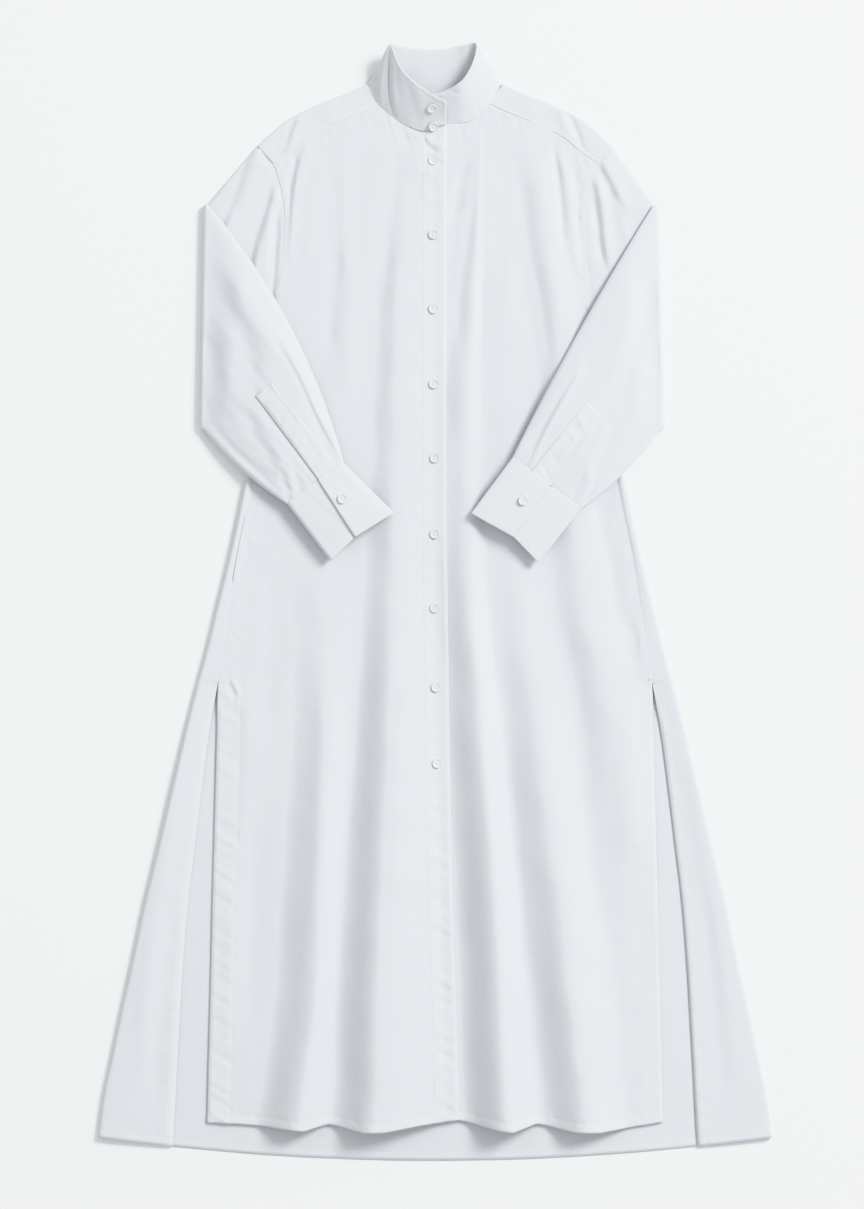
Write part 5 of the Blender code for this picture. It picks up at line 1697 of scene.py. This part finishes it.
def collar_top(x, y):
    """A point on the outside of the collar's free end, near its button."""
    end, inner = COLLAR[0], COLLAR[1]
    share = (end.foot_x - x) / (end.foot_x - inner.foot_x)
    between = mix(np.array(end), np.array(inner), share)
    foot, rim = between[:3], between[3:]
    up = (y - foot[1]) / (rim[1] - foot[1])
    return x, y, float(mix(foot[2], rim[2], up)) + 0.9


for i, (x, y) in enumerate(zip(BUTTON_X, BUTTON_Y)):
    top = collar_top if i < 2 else band_top
    stand = button_frame(top(x, y), top(x + 4, y), top(x, y + 4))
    name = f"button_{i + 1:02d}"
    sewn = place_copy(button_master, f"dress_{name}", stand, name)
    place_copy(thread_master, f"thread_{name}", stand)
    along = Matrix.Translation((0, BUTTONHOLE_SHIFT * MM, -BUTTON_GAP * MM))
    if i == 0:
        along = Matrix.Rotation(math.pi / 2, 4, "Z") @ along
    if i != 1:
        place_copy(hole_master, f"buttonhole_{i + 1:02d}", stand @ along)
for sleeve in SLEEVES:
    z = CUFF_Z + 4.4 + 0.72 * CUFF_PUFF[sleeve.side]
    spot = np.append(cuff_plan(sleeve, CUFF_BUTTON_ALONG, CUFF_BUTTON_ACROSS), z)
    stand = button_frame(spot, spot + (1, 0, 0), spot + (0, 1, 0))
    name = f"cuff_button_{SIDE_NAMES[sleeve.side]}"
    sewn = place_copy(button_master, f"dress_{name}", stand, name)
    place_copy(thread_master, f"thread_{name}", stand)
    way = cuff_plan(sleeve, 0.0, CUFF_BUTTON_ACROSS) - cuff_plan(sleeve, 1.0, CUFF_BUTTON_ACROSS)
    turned = Matrix.Rotation(math.atan2(way[1], way[0]) - math.pi / 2, 4, "Z")
    stand = stand @ turned @ Matrix.Translation((0, 1.8 * BUTTONHOLE_SHIFT * MM, -BUTTON_GAP * MM))
    place_copy(hole_master, f"cuff_buttonhole_{SIDE_NAMES[sleeve.side]}", stand)
for master in (button_master, thread_master, hole_master):
    bpy.data.objects.remove(master)

# %% [markdown]
# ## Floor and light
# The floor is plain and almost white. One broad lamp shines from the collar end on the wearer's left, low
# enough for the long folds to throw soft shade, and the pale surroundings fill the rest.

# %% Floor
floor = deselected_add(bpy.ops.mesh.primitive_plane_add, size=9.0, location=(0, 0, 0))
floor.name = "floor"
floor_finish = bpy.data.materials.new("pale floor")
floor_finish.use_nodes = True
floor_shader = floor_finish.node_tree.nodes["Principled BSDF"]
floor_shader.inputs["Base Color"].default_value = (0.97, 0.975, 0.975, 1.0)
floor_shader.inputs["Roughness"].default_value = 0.9
floor_shader.inputs["Specular IOR Level"].default_value = 0.1
floor.data.materials.append(floor_finish)
print("floor:", tuple(round(side, 1) for side in floor.dimensions))

# %% Light
scene = bpy.context.scene
scene.view_settings.view_transform = "Khronos PBR Neutral"
scene.view_settings.exposure = 0.4
world = bpy.data.worlds.new("pale room")
world.use_nodes = True
world.node_tree.nodes["Background"].inputs["Color"].default_value = (0.97, 0.985, 1.0, 1.0)
world.node_tree.nodes["Background"].inputs["Strength"].default_value = 0.55
scene.world = world
lamp_data = bpy.data.lights.new("broad lamp", "AREA")
lamp_data.shape = "DISK"
lamp_data.size = 2.4
lamp_data.energy = 245.0
lamp_data.color = (1.0, 0.995, 0.985)
lamp = bpy.data.objects.new("broad lamp", lamp_data)
lamp.location = (3.9, 2.9, 4.0)
lamp.rotation_euler = lamp.location.to_track_quat("Z", "Y").to_euler()
scene.collection.objects.link(lamp)
print("lamp above the floor:", lamp.location.z, "m")
